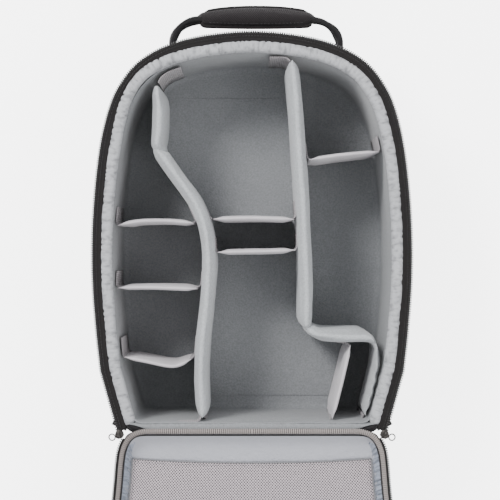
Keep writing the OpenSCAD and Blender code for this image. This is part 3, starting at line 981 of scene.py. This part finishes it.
def make_side_pocket():
    cloth_low, cloth_high = low("side_pocket"), high("side_pocket")
    path = wall_part(lambda p: p.x < 0 and cloth_low.y < p.y < cloth_high.y)
    made = patch(Mesh(), path, cloth_low.z, cloth_high.z, 1.6, bulge=2.6, hem=0.7).piece(
        "side_pocket_cloth", "shell", "air_mesh", "shell_fabric", ["side_pocket"])
    hem = Mesh()
    patch(hem, path, cloth_high.z - 7, cloth_high.z + 1.5, 2.6, bulge=1.2, hem=0.7, rows=5)
    patch(hem, path, cloth_low.z - 2, cloth_low.z + 5, 2.4, rows=4)
    hem.piece("side_pocket_hem", "shell", "tape", "shell_fabric")
    seam = Mesh()
    for z in (cloth_low.z + 1.5, cloth_high.z - 3):
        out = 3.6 - outer_inset(z)
        stitches(seam, raised(shifted(path, out), z)[1:-1])
    seam.piece("side_pocket_seams", "shell", "grey_thread", "shell_fabric")


def make_side_straps():
    straps, seams = Mesh(), Mesh()
    half = 12.5
    for row in (62, -96):
        path = wall_part(lambda p: p.x > 0 and abs(p.y - row) < half, 2.5)
        patch(straps, path, 30, 150, 1.9)
        for z in (36, 60, 84, 108, 132, 145):
            out = 2.7 - outer_inset(z)
            stitches(seams, raised(shifted(path, out), z)[1:-1], 2.2, 1.0)
    straps.piece("side_lash_straps", "shell", "webbing", "webbing", ["side_straps"])
    seams.piece("side_lash_bartacks", "shell", "grey_thread", "webbing")


def make_end_tabs():
    tabs = Mesh()
    for side in (-1, 1):
        line = [Vector((side * 150, -232)), Vector((side * 161, -228)), Vector((side * 167, -225))]
        path = even(spline(line), 2)

        def section(i, s):
            return oval(13 - 0.2 * s, 2.2, 12, 4, (0, 155.5 + 0.02 * s * s))

        tabs.solid(sweep(path, section))
    tabs.piece("zip_end_webbing", "shell", "webbing", "webbing", ["zip_end_tabs"])


HANDLE_X = (low("handle_grip").x + high("handle_grip").x) / 2
GRIP_Y = (low("handle_grip").y + high("handle_grip").y) / 2
HANDLE_Z = (low("handle_grip").z + high("handle_grip").z) / 2
GRIP_HALF = (high("handle_grip").x - low("handle_grip").x) / 2
TAIL = [(103.5, 209), (103.4, 218), (103.2, 229), (101.5, 241), (94.5, 253), (81, 261.5), (64, 264.5)]


def make_handle():
    """The padded grip in its twill sleeve, with piping along its back and webbing out of its ends."""
    rows, back, front = [], [], []
    steps = 64
    for i in range(steps + 1):
        t = -1 + 2 * i / steps
        x = HANDLE_X + GRIP_HALF * t
        close = ease((1 - abs(t)) / 0.10)
        far = (14.8 - 8.6 * abs(t) ** 2.4) * (0.55 + 0.45 * close)
        near = (12.6 - 2.0 * t * t) * (0.15 + 0.85 * ease((1 - abs(t)) / 0.16))
        tall = (14.2 - 4.5 * abs(t) ** 3) * (0.45 + 0.55 * close)
        row = []
        for k in range(28):
            angle = 2 * math.pi * k / 28
            c, sn = math.cos(angle), math.sin(angle)
            reach = far if c > 0 else near
            p = Vector((x, GRIP_Y + reach * math.copysign(abs(c) ** 0.8, c),
                        HANDLE_Z + tall * math.copysign(abs(sn) ** 0.8, sn)))
            row.append(p + Vector((0, c, sn)) * 0.5 * uneven(p, 14, 6))
        rows.append(row)
        if abs(t) < 0.93:
            turned_in = 0.93 - 0.5 * ease((abs(t) - 0.76) / 0.16)
            back.append(Vector((x, GRIP_Y + far * turned_in, HANDLE_Z + 3.5)))
            front.append(Vector((x, GRIP_Y - near * 0.90, HANDLE_Z + 5.5 * close)))
    made = Mesh().solid(rows).piece("grip_sleeve", "handle", "twill", "shell_fabric", ["handle_grip"])
    swell(made, lambda p: 1.3, start=0.8, voxel=3.5)
    piping = Mesh()
    piping.cord(back, 1.9)
    piping.cord(front, 2.3)
    piping.piece("grip_piping", "handle", "tape", "shell_fabric")
    seam = Mesh()
    for line, dy in ((back, -3.2), (front, 3.8)):
        stitches(seam, [p + Vector((0, dy, 5.6 if dy < 0 else 6.2)) for p in line[4:-4]])
    seam.piece("grip_stitches", "handle", "thread", "shell_fabric")

    tails = Mesh()
    for side in (-1, 1):
        line = even([Vector((HANDLE_X + side * p.x, p.y)) for p in spline(TAIL)], 1.6)

        def section(i, s):
            wide = 8.6 + 3.6 * ease(1 - s / 24) + 0.6 * math.sin(s / 5)
            fold = 1.3 * math.sin(s / 9 + 1)
            return [(a + (fold if b > HANDLE_Z else -fold) * 0.6, b)
                    for a, b in oval(wide, 19, 22, 3.2, (0, HANDLE_Z))]

        tails.solid(sweep(line, section))
    made = tails.piece("handle_tails", "handle", "webbing", "webbing", ["handle_webbing"])
    made.parent = None
    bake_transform(made)

    anchors, seams = Mesh(), Mesh()
    for side in (-1, 1):
        path = wall_part(lambda p: p.y > 150 and abs(p.x - HANDLE_X - side * 103) < 19, 2.5)
        patch(anchors, path, HANDLE_Z - 16, HANDLE_Z + 16, 1.8)
        line = shifted(path, 2.6 - outer_inset(HANDLE_Z))
        for z in (-12, 12):
            stitches(seams, raised(line[1:-1], HANDLE_Z + z), 2.2, 1.0)
        for k in (1, len(line) - 2):
            stitches(seams, [line[k].to_3d() + up(HANDLE_Z + z) for z in (-12, 12)], 2.2, 1.0)
    anchors.piece("handle_anchor_patches", "shell", "webbing", "webbing", ["handle_anchors"])
    seams.piece("handle_anchor_stitches", "shell", "grey_thread", "webbing")


make_side_pocket()
make_side_straps()
make_end_tabs()
make_handle()


# ---------------------------------------------------------------- the back, which it lies on

def rectangle_loop(x1, y1, x2, y2, radius, count=160):
    corners = []
    for cx, cy, first in ((x2 - radius, y2 - radius, 0), (x1 + radius, y2 - radius, 90),
                          (x1 + radius, y1 + radius, 180), (x2 - radius, y1 + radius, 270)):
        for k in range(9):
            angle = math.radians(first + 90 * k / 8)
            corners.append(Vector((cx + radius * math.cos(angle), cy + radius * math.sin(angle))))
    return even(corners, count=count, loop=True)


def pillow(mesh, loop, bottom, top, channels=(), rounding=5.0, groove=2.2):
    """A flat-lying pad with rounded edges and sewn channels across it."""
    middle = sum(loop, Vector((0, 0))) / len(loop)

    def face(z, sign):
        def height(p):
            dip = sum(math.exp(-((p.y - y) / 3.2) ** 2) for y in channels)
            return z + sign * groove * min(dip, 1.0)
        return height
    half = (top - bottom) / 2
    edge = []
    for k in range(9):
        angle = math.pi * (k / 8 - 0.5)
        edge.append((1 - math.cos(angle), bottom + half + half * math.sin(angle)))
    rows = []
    for share in (0.04, 0.2, 0.4, 0.6, 0.8, 0.88):
        ring = shrunk(loop, share, middle)
        rows.append([p.to_3d() + up(face(bottom, 1)(p)) for p in ring])
    for back_in, z in edge:
        size = 1 - back_in * rounding / 60
        rows.append(raised(shrunk(loop, size, middle), z))
    for share in (0.88, 0.8, 0.6, 0.4, 0.2, 0.04):
        ring = shrunk(loop, share, middle)
        rows.append([p.to_3d() + up(face(top, -0.2)(p)) for p in ring])
    return mesh.solid(rows)


def lying(p):
    """How far a pad that the bag lies on may swell: hardly at all at the floor."""
    return 0.3 + 1.5 * ease((p.z - 1) / 6)


def channelled(p, channels):
    dip = max(math.exp(-((p.y - y) / 3.0) ** 2) for y in channels)
    return p + up(2.2 * dip * ease((6 - p.z) / 4))


BACK_CHANNELS = (-100, -40, 20)
LUMBAR_CHANNELS = (-191,)
STRAP = [(40, 196), (58, 160), (84, 105), (104, 40), (112, -20), (112, -70)]


def padding_piece(name, node, radius, channels):
    """One of the two sewn pads on the back panel."""
    a, b = low(node), high(node)
    made = pillow(Mesh(), rectangle_loop(a.x, a.y, b.x, b.y, radius), 0, b.z + 0.5, channels).piece(
        name, "shell", "back_mesh", "shell_fabric", [node])
    swell(made, lying, after=lambda p: channelled(p, channels))


def make_back():
    padding_piece("back_padding", "back_pad", 18, BACK_CHANNELS)
    padding_piece("lumbar_padding", "lumbar_pad", 22, LUMBAR_CHANNELS)

    pads, edging, webs = Mesh(), Mesh(), Mesh()
    for side in (-1, 1):
        path = even([Vector((side * p.x, p.y)) for p in spline(STRAP)], 3)
        total = 3 * (len(path) - 1)

        def section(i, s):
            size = 0.8 + 0.2 * ease(min(s, total - s) / 16)
            return oval(60 * size, 14, 28, 4.5, (0, 7.2))

        pads.solid(sweep(path, section))
        for out in (-28.8, 28.8):
            rail = raised(shifted(path[2:-2], out), 7.2)
            edging.cord(rail, 2.2, 8, 1.6)
        web = even([Vector((side * 113, -84)), Vector((side * 136, -222))], 4)
        webs.solid(sweep(web, lambda i, s: oval(24.5, 1.9, 12, 6, (0, 13.1))))
    made = pads.piece("shoulder_strap_pads", "shell", "back_mesh", "shell_fabric", ["shoulder_straps"])
    swell(made, lying)
    edging.piece("shoulder_strap_edging", "shell", "tape", "shell_fabric")
    webs.piece("shoulder_strap_webbing", "shell", "webbing", "webbing", ["strap_webbing"])
    softened("ladder_locks", "plastic", 0.8)


def softened(node, look, bevel):
    """A CAD node's shape with its edges rounded, standing in for the node."""
    source = frame["nodes"][node]
    made = placed(node + "_rounded", source.data.copy())
    made.data.materials.clear()
    made.data.materials.append(LOOKS[look])
    made.data.transform(source.matrix_world)
    weld = made.modifiers.new("weld", "WELD")
    weld.merge_threshold = 0.01 * MM
    edges = made.modifiers.new("edges", "BEVEL")
    edges.width = bevel * MM
    edges.segments = 3
    edges.limit_method = "ANGLE"
    bake_modifiers(made)
    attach(made, body_of(node))
    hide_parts(node)
    return made


def body_of(node):
    bodies = frame["record"]["behaviour"]["bodies"]
    return next(name for name, nodes in bodies.items() if node in nodes)


make_back()


# ---------------------------------------------------------------- lid

# Distances down the lid from its hinge or in from its edge, heights (w) above its plane, and the length
# of its edge.
GUSSET_START = 14
MESH_START = 41
MESH_INSET = 14
LINING_W = -11.0
LID_FACE_W = -29.9
LID_ROUND = 1480
MESH_ZIP = 250
FRONT_ZIP = 352


def toward_middle(row, share, w):
    """A row of points drawn in towards the lid's middle, at one height."""
    return [Vector((p.x * share, LID_CENTRE.y + (p.y - LID_CENTRE.y) * share, w)) for p in row]


def make_lid():
    """The padded front panel's outer shell and piping, then everything that is sewn to it."""
    outer_profile = [(9, -12.8), (5.6, -12.4), (4.2, -9), (3.2, -4.6), (1.6, -3.2), (0.2, -3.6),
                     (-0.4, -7), (-0.8, -13), (-0.6, -19), (0.4, -24.5), (3.4, -28.2), (9, -29.5),
                     (20, LID_FACE_W)]
    rows = rings([(lid_loop(inset, GUSSET_START + max(0, inset) * 0.8), w)
                  for inset, w in outer_profile])
    inside, outside = rows[0], rows[-1]

    for share in (0.7, 0.4, 0.1):
        rows.insert(0, toward_middle(inside, share, -12.8))
    for share in (0.92, 0.82, 0.7, 0.55, 0.4, 0.25, 0.1):
        rows.append(toward_middle(outside, share, LID_FACE_W))
    # The outer faces are uneven, and the part by the hinge lies lower, clear of the satin's turned edge.
    for row in rows[4:17]:
        for k, p in enumerate(row):
            away = Vector((p.x, p.y - LID_CENTRE.y, 0)).normalized()
            row[k] = p + away * 0.7 * uneven(p, 26, 21)
    for row in rows[:12]:
        for p in row:
            by_hinge = ease(1 - (-p.y - GUSSET_START - 2) / 9)
            p.z = min(p.z, p.z + (-13.2 - 0.2 * abs(p.z + 13) - p.z) * by_hinge)
    made = Mesh().solid(rows).piece(
        "lid_cloth", "lid", "shell", "shell_fabric", ["lid_panel", "lid_gusset"], place=LID)

    piping = Mesh()
    line = raised(lid_loop(0.8, GUSSET_START + 1), -27.6)
    piping.closed_cord(line, 1.9)
    piping.piece("lid_piping", "lid", "tape", "shell_fabric", place=LID)

    make_lid_lining()
    make_lid_binding()
    make_lid_zip()
    make_hinge_cloth()
    make_hinge_backing()
    make_hinge_lining()
    make_front_pocket()


def make_lid_lining():
    """Satin over the inside of the panel: gathered up its sides, smooth across a band by the hinge."""
    profile = [(2.0, 2.4, -5.6), (3.2, 4.2, -5.4), (5.2, 7, -5.6), (7.4, 10, -8), (9.6, 14, -9.8),
               (12, 19, -10.8), (15, 26, LINING_W), (24, 40, LINING_W)]
    rows = []
    count = 1300
    for number, (inset, start, w) in enumerate(profile):
        loop = lid_loop(inset, start, count, 24)
        reach = math.sin(math.pi * min(1.0, (number + 0.5) / 6.6))
        row = []
        for k, p in enumerate(loop):
            s = LID_ROUND * k / count
            by_hinge = ease(1 - (-p.y - start) / 14)
            wander = 2.6 * uneven((s, 0, 0), 26, 31) + 0.5 * uneven((s, number * 5, 0), 12, 8)
            gather = math.sin(s / 1.02 + wander) + 0.6 * math.sin(s / 2.3 + 2 * wander)
            gather *= (1 - by_hinge) * reach * (0.55 + 0.45 * uneven((s, 9, 0), 22, 2))
            row.append(p.to_3d() + up(w + 2.3 * gather))
        rows.append(row)
    last = rows[-1]
    for share in (0.85, 0.7, 0.5, 0.3, 0.1):
        rows.append(toward_middle(last, share, LINING_W))
    for row in rows:
        for k, p in enumerate(row):
            crease = 0.7 * uneven((p.x * 0.55, p.y * 1.6, 0), 26, 12) * ease((-p.y - 5) / 8)
            row[k] = p + up(crease)
    lining = Mesh().grid(rows, ring=True)
    made = lining.piece("lid_satin", "lid", "satin", "satin", ["lid_lining", "mesh_pocket_band"],
                        place=LID, thick=0.5)
    # Faces raised in the gathers get the darker satin copy: painted shade.
    made.data.materials.append(LOOKS["shaded_gathers"])
    back = LID.inverted()
    for face in made.data.polygons:
        centre = back @ (face.center / MM)
        if centre.y < -20 and centre.z > LINING_W + 0.7:
            face.material_index = 1


def mesh_edge(x):
    """How far from the hinge the mesh pocket's upper edge lies: it sags a little in the middle."""
    return MESH_START + 5.5 * (1 - min(1.0, abs(x) / 146) ** 2.2)


def make_mesh_half(name, start, end, nodes):
    """One half of the mesh pocket, from start to end down the panel."""
    rows = []
    side = shifted(even(lid_path, 3), -MESH_INSET)
    right = [p for p in side if p.x > 0]
    steps = 60

    def half_width(v):
        near = min(right, key=lambda p: abs(-p.y - v))
        return near.x
    bottom = max(-p.y for p in side)
    last = min(end, bottom - 0.5)
    for i in range(steps + 1):
        t = i / steps
        row = []
        for k in range(61):
            u = -1 + 2 * k / 60
            v0 = mesh_edge(u * 146) if start is None else start
            v = v0 + (last - v0) * (1 - (1 - t) ** 1.25)
            x = u * half_width(v)
            puff = 1.5 * (1 - u ** 4) * math.sin(math.pi * t) ** 0.5
            puff += 0.5 * uneven((x, v, 0), 45, 17)
            row.append(Vector((x, -v, LINING_W + 2.0 + puff)))
        rows.append(row)
    made = Mesh().grid(rows).piece(name, "lid", "mesh", "mesh", nodes, place=LID, thick=0.5)
    return made, rows


def make_lid_binding():
    """Ribbed grosgrain folded over the panel's edge, all the way round and along the hinge."""
    loop = lid_loop(0.0, 0.0, count=2400, rounding=60)
    spacing = (loop[1] - loop[0]).length

    def section(i, s):
        p = loop[i]
        by_hinge = ease(1 - (-p.y - 4) / 30)
        rib = 0.5 + 0.5 * math.cos(2 * math.pi * i * spacing / RIB_PITCH)
        depth = (0.14 + 0.20 * by_hinge) * rib
        wide = 5.8 + 1.5 * by_hinge
        return [(a * (1 - depth) - 0.3, b * (1 - depth) + 0.2) for a, b in oval(wide, 5.8, 14, 2.4)]

    rows = sweep(loop, section, loop=True)
    run = [i * spacing for i in range(len(loop) + 1)]
    Mesh().grid(rows, loop=True, ring=True, run=run).piece(
        "lid_ribbed_binding", "lid", "binding", "binding", ["lid_binding"], place=LID)
    # A thin dark cord along the binding's inner edge, where the binding casts its shade: painted shadow.
    edge = Mesh()
    line = raised(lid_loop(3.9, 6.9), -3.4)
    edge.closed_cord(line, 1.2)
    edge.piece("lid_binding_shadow_cord", "lid", "thread", "binding", place=LID)


def make_lid_zip():
    path = even([p for p in lid_path if -p.y > 11], 2.5)
    Mesh().solid(zip_tape(path, 2.2, 5.2, -0.2)).piece(
        "lid_zip_cloth", "lid", "tape", "zip_tape", ["lid_zip_tape"], place=LID)
    zip_teeth(Mesh(), path, 3.4, 7.2, 0.0).piece(
        "lid_zip_coil", "lid", "coil", "zip_teeth", ["lid_zip_teeth"], place=LID)

    upper, rows_a = make_mesh_half("mesh_pocket_upper", None, MESH_ZIP - 9, ["mesh_pocket"])
    lower, rows_b = make_mesh_half("mesh_pocket_lower", MESH_ZIP + 9, 470, [])
    edging, seam = Mesh(), Mesh()
    top = [p + Vector((0, 0.6, 0.2)) for p in rows_a[0]]
    sides = [[row[k] + up(0.3) for row in rows_a + rows_b] for k in (0, 60)]
    for line in [top] + sides:
        edging.cord(even(line, 3), 0.9, 8, 0.8)
    edging.piece("mesh_pocket_edging", "lid", "grey_thread", "satin", place=LID)
    for line in sides:
        inner = [p + Vector((-3.0 if p.x > 0 else 3.0, 0, 0.7)) for p in line]
        stitches(seam, inner, 2.6, 1.6, 0.3)
    stitches(seam, [p + Vector((0, -3.4, 0.9)) for p in top], 2.6, 1.6, 0.3)
    seam.piece("mesh_pocket_stitches", "lid", "grey_thread", "satin", place=LID)

    half = [p.x for p in rows_a[-1]][-1]
    across = [Vector((-half, 0)), Vector((half, 0))]
    path = even(across, 2.5)
    tapes, teeth = Mesh(), Mesh()
    tilt = Matrix.Translation((0, -MESH_ZIP, LINING_W + 3.6))
    for side in (-1, 1):
        tapes.solid(zip_tape(path, side * 13, side * 1.8, -0.6, 0.15))
    zip_teeth(teeth, path, -2.3, 2.3, 0.5, 1.8)
    tapes.piece("mesh_zip_cloth", "lid", "satin", "satin", ["mesh_zip_tape"], place=LID @ tilt)
    teeth.piece("mesh_zip_coil", "lid", "coil", "zip_teeth", place=LID @ tilt)


def make_hinge_cloth():
    """The cloth hinge: down the outside of the lower wall, round the fold and down the lid's edge."""
    over_lid = ((6, -8), (10, -11.5), (GUSSET_START + 0.4, -16), (GUSSET_START, -27))
    lid_side = [LID @ Vector((0, -v, w)) for v, w in over_lid]
    wall_side = [Vector((BOTTOM_Y - 0.9, z)) for z in (112, 140, 156, 161.5)]
    route = even(spline(wall_side + [Vector((p.y, p.z)) for p in lid_side]), 1.5)
    half = HINGE_HALF - 4
    rows = []
    for i, p in enumerate(route):
        row = []
        for k in range(41):
            ripple = 0.25 * uneven((k * 12, i * 2, 0), 14, 3)
            row.append(Vector((half * (-1 + k / 20), p.x + ripple, p.y)))
        rows.append(row)
    made = Mesh().grid(rows).piece("hinge_cloth", "lid", "shell", "shell_fabric",
                                   ["lid_hinge_strip", "hinge_flap"], thick=0.8)
    made.parent = None
    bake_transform(made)


def make_hinge_backing():
    """The outer cloth behind the satin, from the binding to the lid's padding along the hinge."""
    rows = []
    for inset, start, w in ((2.6, 2.9, -6.7), (4.4, 5.6, -7.8), (6, 8.6, -9.8),
                            (7.4, 11.6, -12), (8.6, 15, -15), (9.6, 18, -18)):
        loop = lid_loop(inset, start)
        along_hinge = loop[-44:] + loop[:45]
        rows.append(raised(along_hinge, w))
    made = Mesh().grid(rows).piece("lid_hinge_backing", "lid", "shell", "shell_fabric",
                                   place=LID, thick=0.8)


# Where the lining meets the top of the lower wall.
LINER_Y = -226.4


def make_hinge_lining():
    """The lining turned over the top of the lower wall, as far as the lid's binding."""
    edge = [(LINER_Y, 163.5), (-226.9, 166.4), (-228.6, 168.6), (-231.5, 169.8), (-234, 170.3),
            (-235.8, 170.2), (-235.7, 169.2), (-234, 168.8), (-230.5, 167.8), (-228.2, 166),
            (-227.8, 163.5)]
    rows = []
    for i in range(101):
        x = -147 + 2.94 * i
        close = 1 - 0.75 * ease((abs(x) - 118) / 30)
        row = []
        for y, z in edge:
            drop = 2.2 * ease((abs(x) - 105) / 36)
            soft = 0.35 * uneven((x, y * 2, 0), 22, 6)
            row.append(Vector((x, LINER_Y + (y - LINER_Y) * close + soft, z - drop + soft)))
        rows.append(row)
    Mesh().solid(rows).piece("hinge_lining", "shell", "lining", "lining")


def make_front_pocket():
    """The flat outer pocket: a padded panel with piping, and a zip across it."""
    a, b = -128, 128
    w = -30
    profile = [(0.6, w + 2), (-0.2, w - 2), (-0.6, w - 6), (0, w - 10), (3, w - 13), (8, w - 14)]
    rows = []
    for inset, height in profile:
        loop = rectangle_loop(a + inset, -402 + inset, b - inset, -66 - inset, 34 - inset, 240)
        rows.append([p.to_3d() + up(height + 0.4 * uneven((p.x, p.y, height), 30, 5)) for p in loop])
    middle = Vector((0, -234))
    last = rectangle_loop(a + 8, -394, b - 8, -74, 26, 240)
    for share in (0.9, 0.75, 0.6, 0.45, 0.3, 0.15, 0.05):
        ring = shrunk(last, share, middle)
        rows.append([p.to_3d() + up(w - 14 + 0.4 * uneven((p.x, p.y, 0), 40, 5)) for p in ring])
    rows.insert(0, raised(shrunk(last, 0.5, middle), w + 2))
    made = Mesh().solid(rows).piece("front_pocket_cloth", "lid", "shell", "shell_fabric",
                                                        ["front_pocket"], place=LID)
    piping = Mesh()
    line = raised(rectangle_loop(a + 1.2, -400.8, b - 1.2, -67.2, 33, 240), w - 12.6)
    piping.closed_cord(line, 1.7)
    piping.piece("front_pocket_piping", "lid", "tape", "shell_fabric", place=LID)
    turn = LID @ Matrix.Translation((0, -FRONT_ZIP, w - 15.2)) @ Matrix.Rotation(math.pi, 4, "X")
    path = even([Vector((-112, 0)), Vector((112, 0))], 2.5)
    tapes = Mesh()
    for side in (-1, 1):
        tapes.solid(zip_tape(path, side * 9, side * 1.8, -0.6, 0.1))
    tapes.piece("front_zip_cloth", "lid", "tape", "zip_tape", ["front_zip_tape"], place=turn)
    zip_teeth(Mesh(), path, -2.3, 2.3, 0.3, 2.0).piece(
        "front_zip_coil", "lid", "coil", "zip_teeth", place=turn)


make_lid()


# ---------------------------------------------------------------- sliders and their pulls

def plate(mesh, length, wide, nose, z1, z2, middle=0.0):
    """A slider's plate: rounded at one end and drawn in to a nose at the other."""
    half = wide / 2
    outline = [(middle + nose / 2, length / 2), (middle - nose / 2, length / 2),
               (middle - half, length * 0.18), (middle - half, -length * 0.38),
               (middle - half * 0.7, -length / 2), (middle + half * 0.7, -length / 2),
               (middle + half, -length * 0.38), (middle + half, length * 0.18)]
    loop = even(smoothed([Vector(p) for p in outline], 1), count=32, loop=True)
    rows = []
    centre = Vector((middle, 0))
    for size, z in ((0.86, z1), (0.97, z1 + 0.3), (1.0, (z1 + z2) / 2), (0.97, z2 - 0.3), (0.86, z2)):
        rows.append(raised(shrunk(loop, size, centre), z))
    return mesh.solid(rows)


def slider(name, node, place, length, wide, z_low, z_high, middle, pin_z, pin_from, pin_to):
    """A main slider: two plates, the neck between them and the bridge that its pull turns on."""
    mesh = Mesh()
    plate(mesh, length, wide, wide * 0.6, z_high - 2.0, z_high, middle)
    plate(mesh, length, wide, wide * 0.6, z_low, z_low + 2.0, middle)
    neck = [Vector((middle, length * 0.36, z_low + 1)), Vector((middle, length * 0.36, z_high - 1))]
    mesh.cord(neck, 1.4, 10)
    arch = [(pin_from + 0.2, z_high - 0.6), (pin_from + 0.3, pin_z - 0.9), (pin_from + 1.1, pin_z),
            (pin_to - 1.1, pin_z), (pin_to - 0.3, pin_z - 0.9), (pin_to - 0.2, z_high - 0.6)]
    line = spline([Vector((middle, y, z)) for y, z in arch], 5)
    mesh.cord(line, 0.95, 10)
    return mesh.piece(name, node, "metal", "metal", [node], place=place)


def ring_pull(name, node, place, reach, ring_r, wide):
    """A wire ring on a short strap that turns round the slider's bridge."""
    mesh = Mesh()
    eye = [Vector((1.9 * math.cos(a), 0, 1.9 * math.sin(a))) for a in angles(20)]
    for y in (-wide / 2 + 0.6, wide / 2 - 0.6):
        line = [p + Vector((0, y, 0)) for p in eye]
        mesh.hoop(closed_tube_about(line, 0.5, Vector((0, 1, 0))))
    strap = []
    for t in (0, 0.15, 0.5, 0.85, 1):
        x = 1.9 + (reach - ring_r - 1.4) * t
        waist = wide * (1 - 0.25 * math.sin(math.pi * t))
        strap.append([Vector((x, a, b)) for a, b in oval(waist, 1.2, 12, 4)])
    mesh.solid(strap)
    wire_r = ring_r - 0.8
    hoop = [Vector((reach + wire_r * math.cos(a), wire_r * math.sin(a), 0)) for a in angles(32)]
    mesh.hoop(closed_tube_about(hoop, 0.8, up(1)))
    return mesh.piece(name, node, "metal", "metal", [node], place=place)


def closed_tube_about(line, radius, axis, count=10):
    """Rows for a ring of round wire, whose plane is square to an axis."""
    middle = sum(line, Vector()) / len(line)
    rows = []
    for p in line:
        away = (p - middle).normalized()
        rows.append([p + radius * (math.cos(a) * away + math.sin(a) * axis)
                     for a in angles(count)])
    return rows


SLIDER_TOP = 172.0
SLIDER_MIDDLE = -2.9
BRIDGE_Z = 174.8


def make_sliders():
    lean = math.atan2(RIM_SIDE[0][0] - CORNER[0], RIM_SIDE[0][1] - CORNER[1])
    corner = Matrix.Translation((CORNER[0], CORNER[1], 0)) @ Matrix.Rotation(-lean, 4, "Z")
    right = corner @ Matrix.Translation((0, -3, 0))
    flip = Matrix.Scale(-1, 4, (1, 0, 0))
    for side, place in (("right", right), ("left", flip @ right)):
        slider(side + "_slider_body", side + "_slider", place, 12, 11, low("right_slider").z, SLIDER_TOP,
               SLIDER_MIDDLE, BRIDGE_Z, -4.6, 2.6)
        pin = Matrix.Translation((SLIDER_MIDDLE, -1, BRIDGE_Z))
        pull = place @ pin @ Matrix.Rotation(math.radians(10), 4, "Y")
        ring_pull(side + "_slider_ring", side + "_pull", pull, 9, 4.6, 2.6)
    quarter = Matrix.Rotation(-math.pi / 2, 4, "Z")
    mesh_at = LID @ Matrix.Translation((-120, -MESH_ZIP, -7.5))
    front_at = LID @ Matrix.Translation((-98, -FRONT_ZIP, -45.5)) @ Matrix.Scale(-1, 4, (0, 0, 1))
    for name, at in (("mesh", mesh_at), ("front", front_at)):
        mesh = Mesh()
        plate(mesh, 13, 9, 5.5, 0.9, 3.0)
        mesh.points = [quarter.to_3x3() @ p for p in mesh.points]
        arch = [(-3.2, 2.4), (-3.1, 4.9), (-2.4, 5.8), (2.4, 5.8), (3.1, 4.9), (3.2, 2.4)]
        mesh.cord(spline([Vector((0, y, z)) for y, z in arch], 5), 0.95, 10)
        node = name + "_slider"
        mesh.piece(node + "_body", node, "metal", "metal", [node], place=at)
        pin = at @ Matrix.Translation(up(5.8))
        ring_pull(node + "_ring", name + "_pull", pin, 15, 3.8, 3.0)


make_sliders()


# ---------------------------------------------------------------- camera and light

CAMERA_OVER_RIM = 1900
VIEW_WIDTH = 600
VIEW_CENTRE = (-2.4, -19.2)
# The floor looks white to the camera, as in the photo, but lights nothing.
FLOOR_GLOW = 4.0
# In metres, as are the lamps' places and sizes. Their power is in watts.
FLOOR_HALF = 6.0
FLOOR_GAP = 0.0005
SKY = 1.15
LAMPS = (("key", (-1.3, 1.4, 2.1), 0.8, 84), ("fill", (1.6, -0.9, 2.2), 1.4, 30))


def make_stage():
    floor = bpy.data.meshes.new("floor")
    corners = [(-FLOOR_HALF, -FLOOR_HALF, 0), (FLOOR_HALF, -FLOOR_HALF, 0),
               (FLOOR_HALF, FLOOR_HALF, 0), (-FLOOR_HALF, FLOOR_HALF, 0)]
    floor.from_pydata(corners, [], [(0, 1, 2, 3)])
    made = placed("floor", floor)
    made.location.z = -FLOOR_GAP
    s = Shader("floor_paint")
    paint = s.blend(s.noise(600), (0.93, 0.93, 0.93, 1), (0.96, 0.96, 0.96, 1))
    s.plug(s.surface.inputs["Base Color"], paint)
    s.surface.inputs["Roughness"].default_value = 0.9
    s.surface.inputs["Emission Color"].default_value = (1.0, 1.0, 1.0, 1)
    seen = s.node("LightPath").outputs["Is Camera Ray"]
    s.plug(s.surface.inputs["Emission Strength"], s.times(seen, FLOOR_GLOW))
    floor.materials.append(s.material)

    world = bpy.data.worlds.new("studio")
    world.use_nodes = True
    world.node_tree.nodes["Background"].inputs["Color"].default_value = (0.97, 0.98, 1.0, 1)
    world.node_tree.nodes["Background"].inputs["Strength"].default_value = SKY
    bpy.context.scene.world = world

    for name, place, size, power in LAMPS:
        light = bpy.data.lights.new(name, "AREA")
        light.size = size
        light.energy = power
        lamp = placed(name, light)
        lamp.location = place
        lamp.rotation_euler = (-Vector(place)).to_track_quat("-Z", "Y").to_euler()

    lens = bpy.data.cameras.new("camera")
    lens.sensor_fit = "HORIZONTAL"
    lens.angle = 2 * math.atan(VIEW_WIDTH / 2 / CAMERA_OVER_RIM)
    camera = placed("camera", lens)
    camera.location = (VIEW_CENTRE[0] * MM, VIEW_CENTRE[1] * MM, (RIM_TOP + CAMERA_OVER_RIM) * MM)
    bpy.context.scene.camera = camera


make_stage()
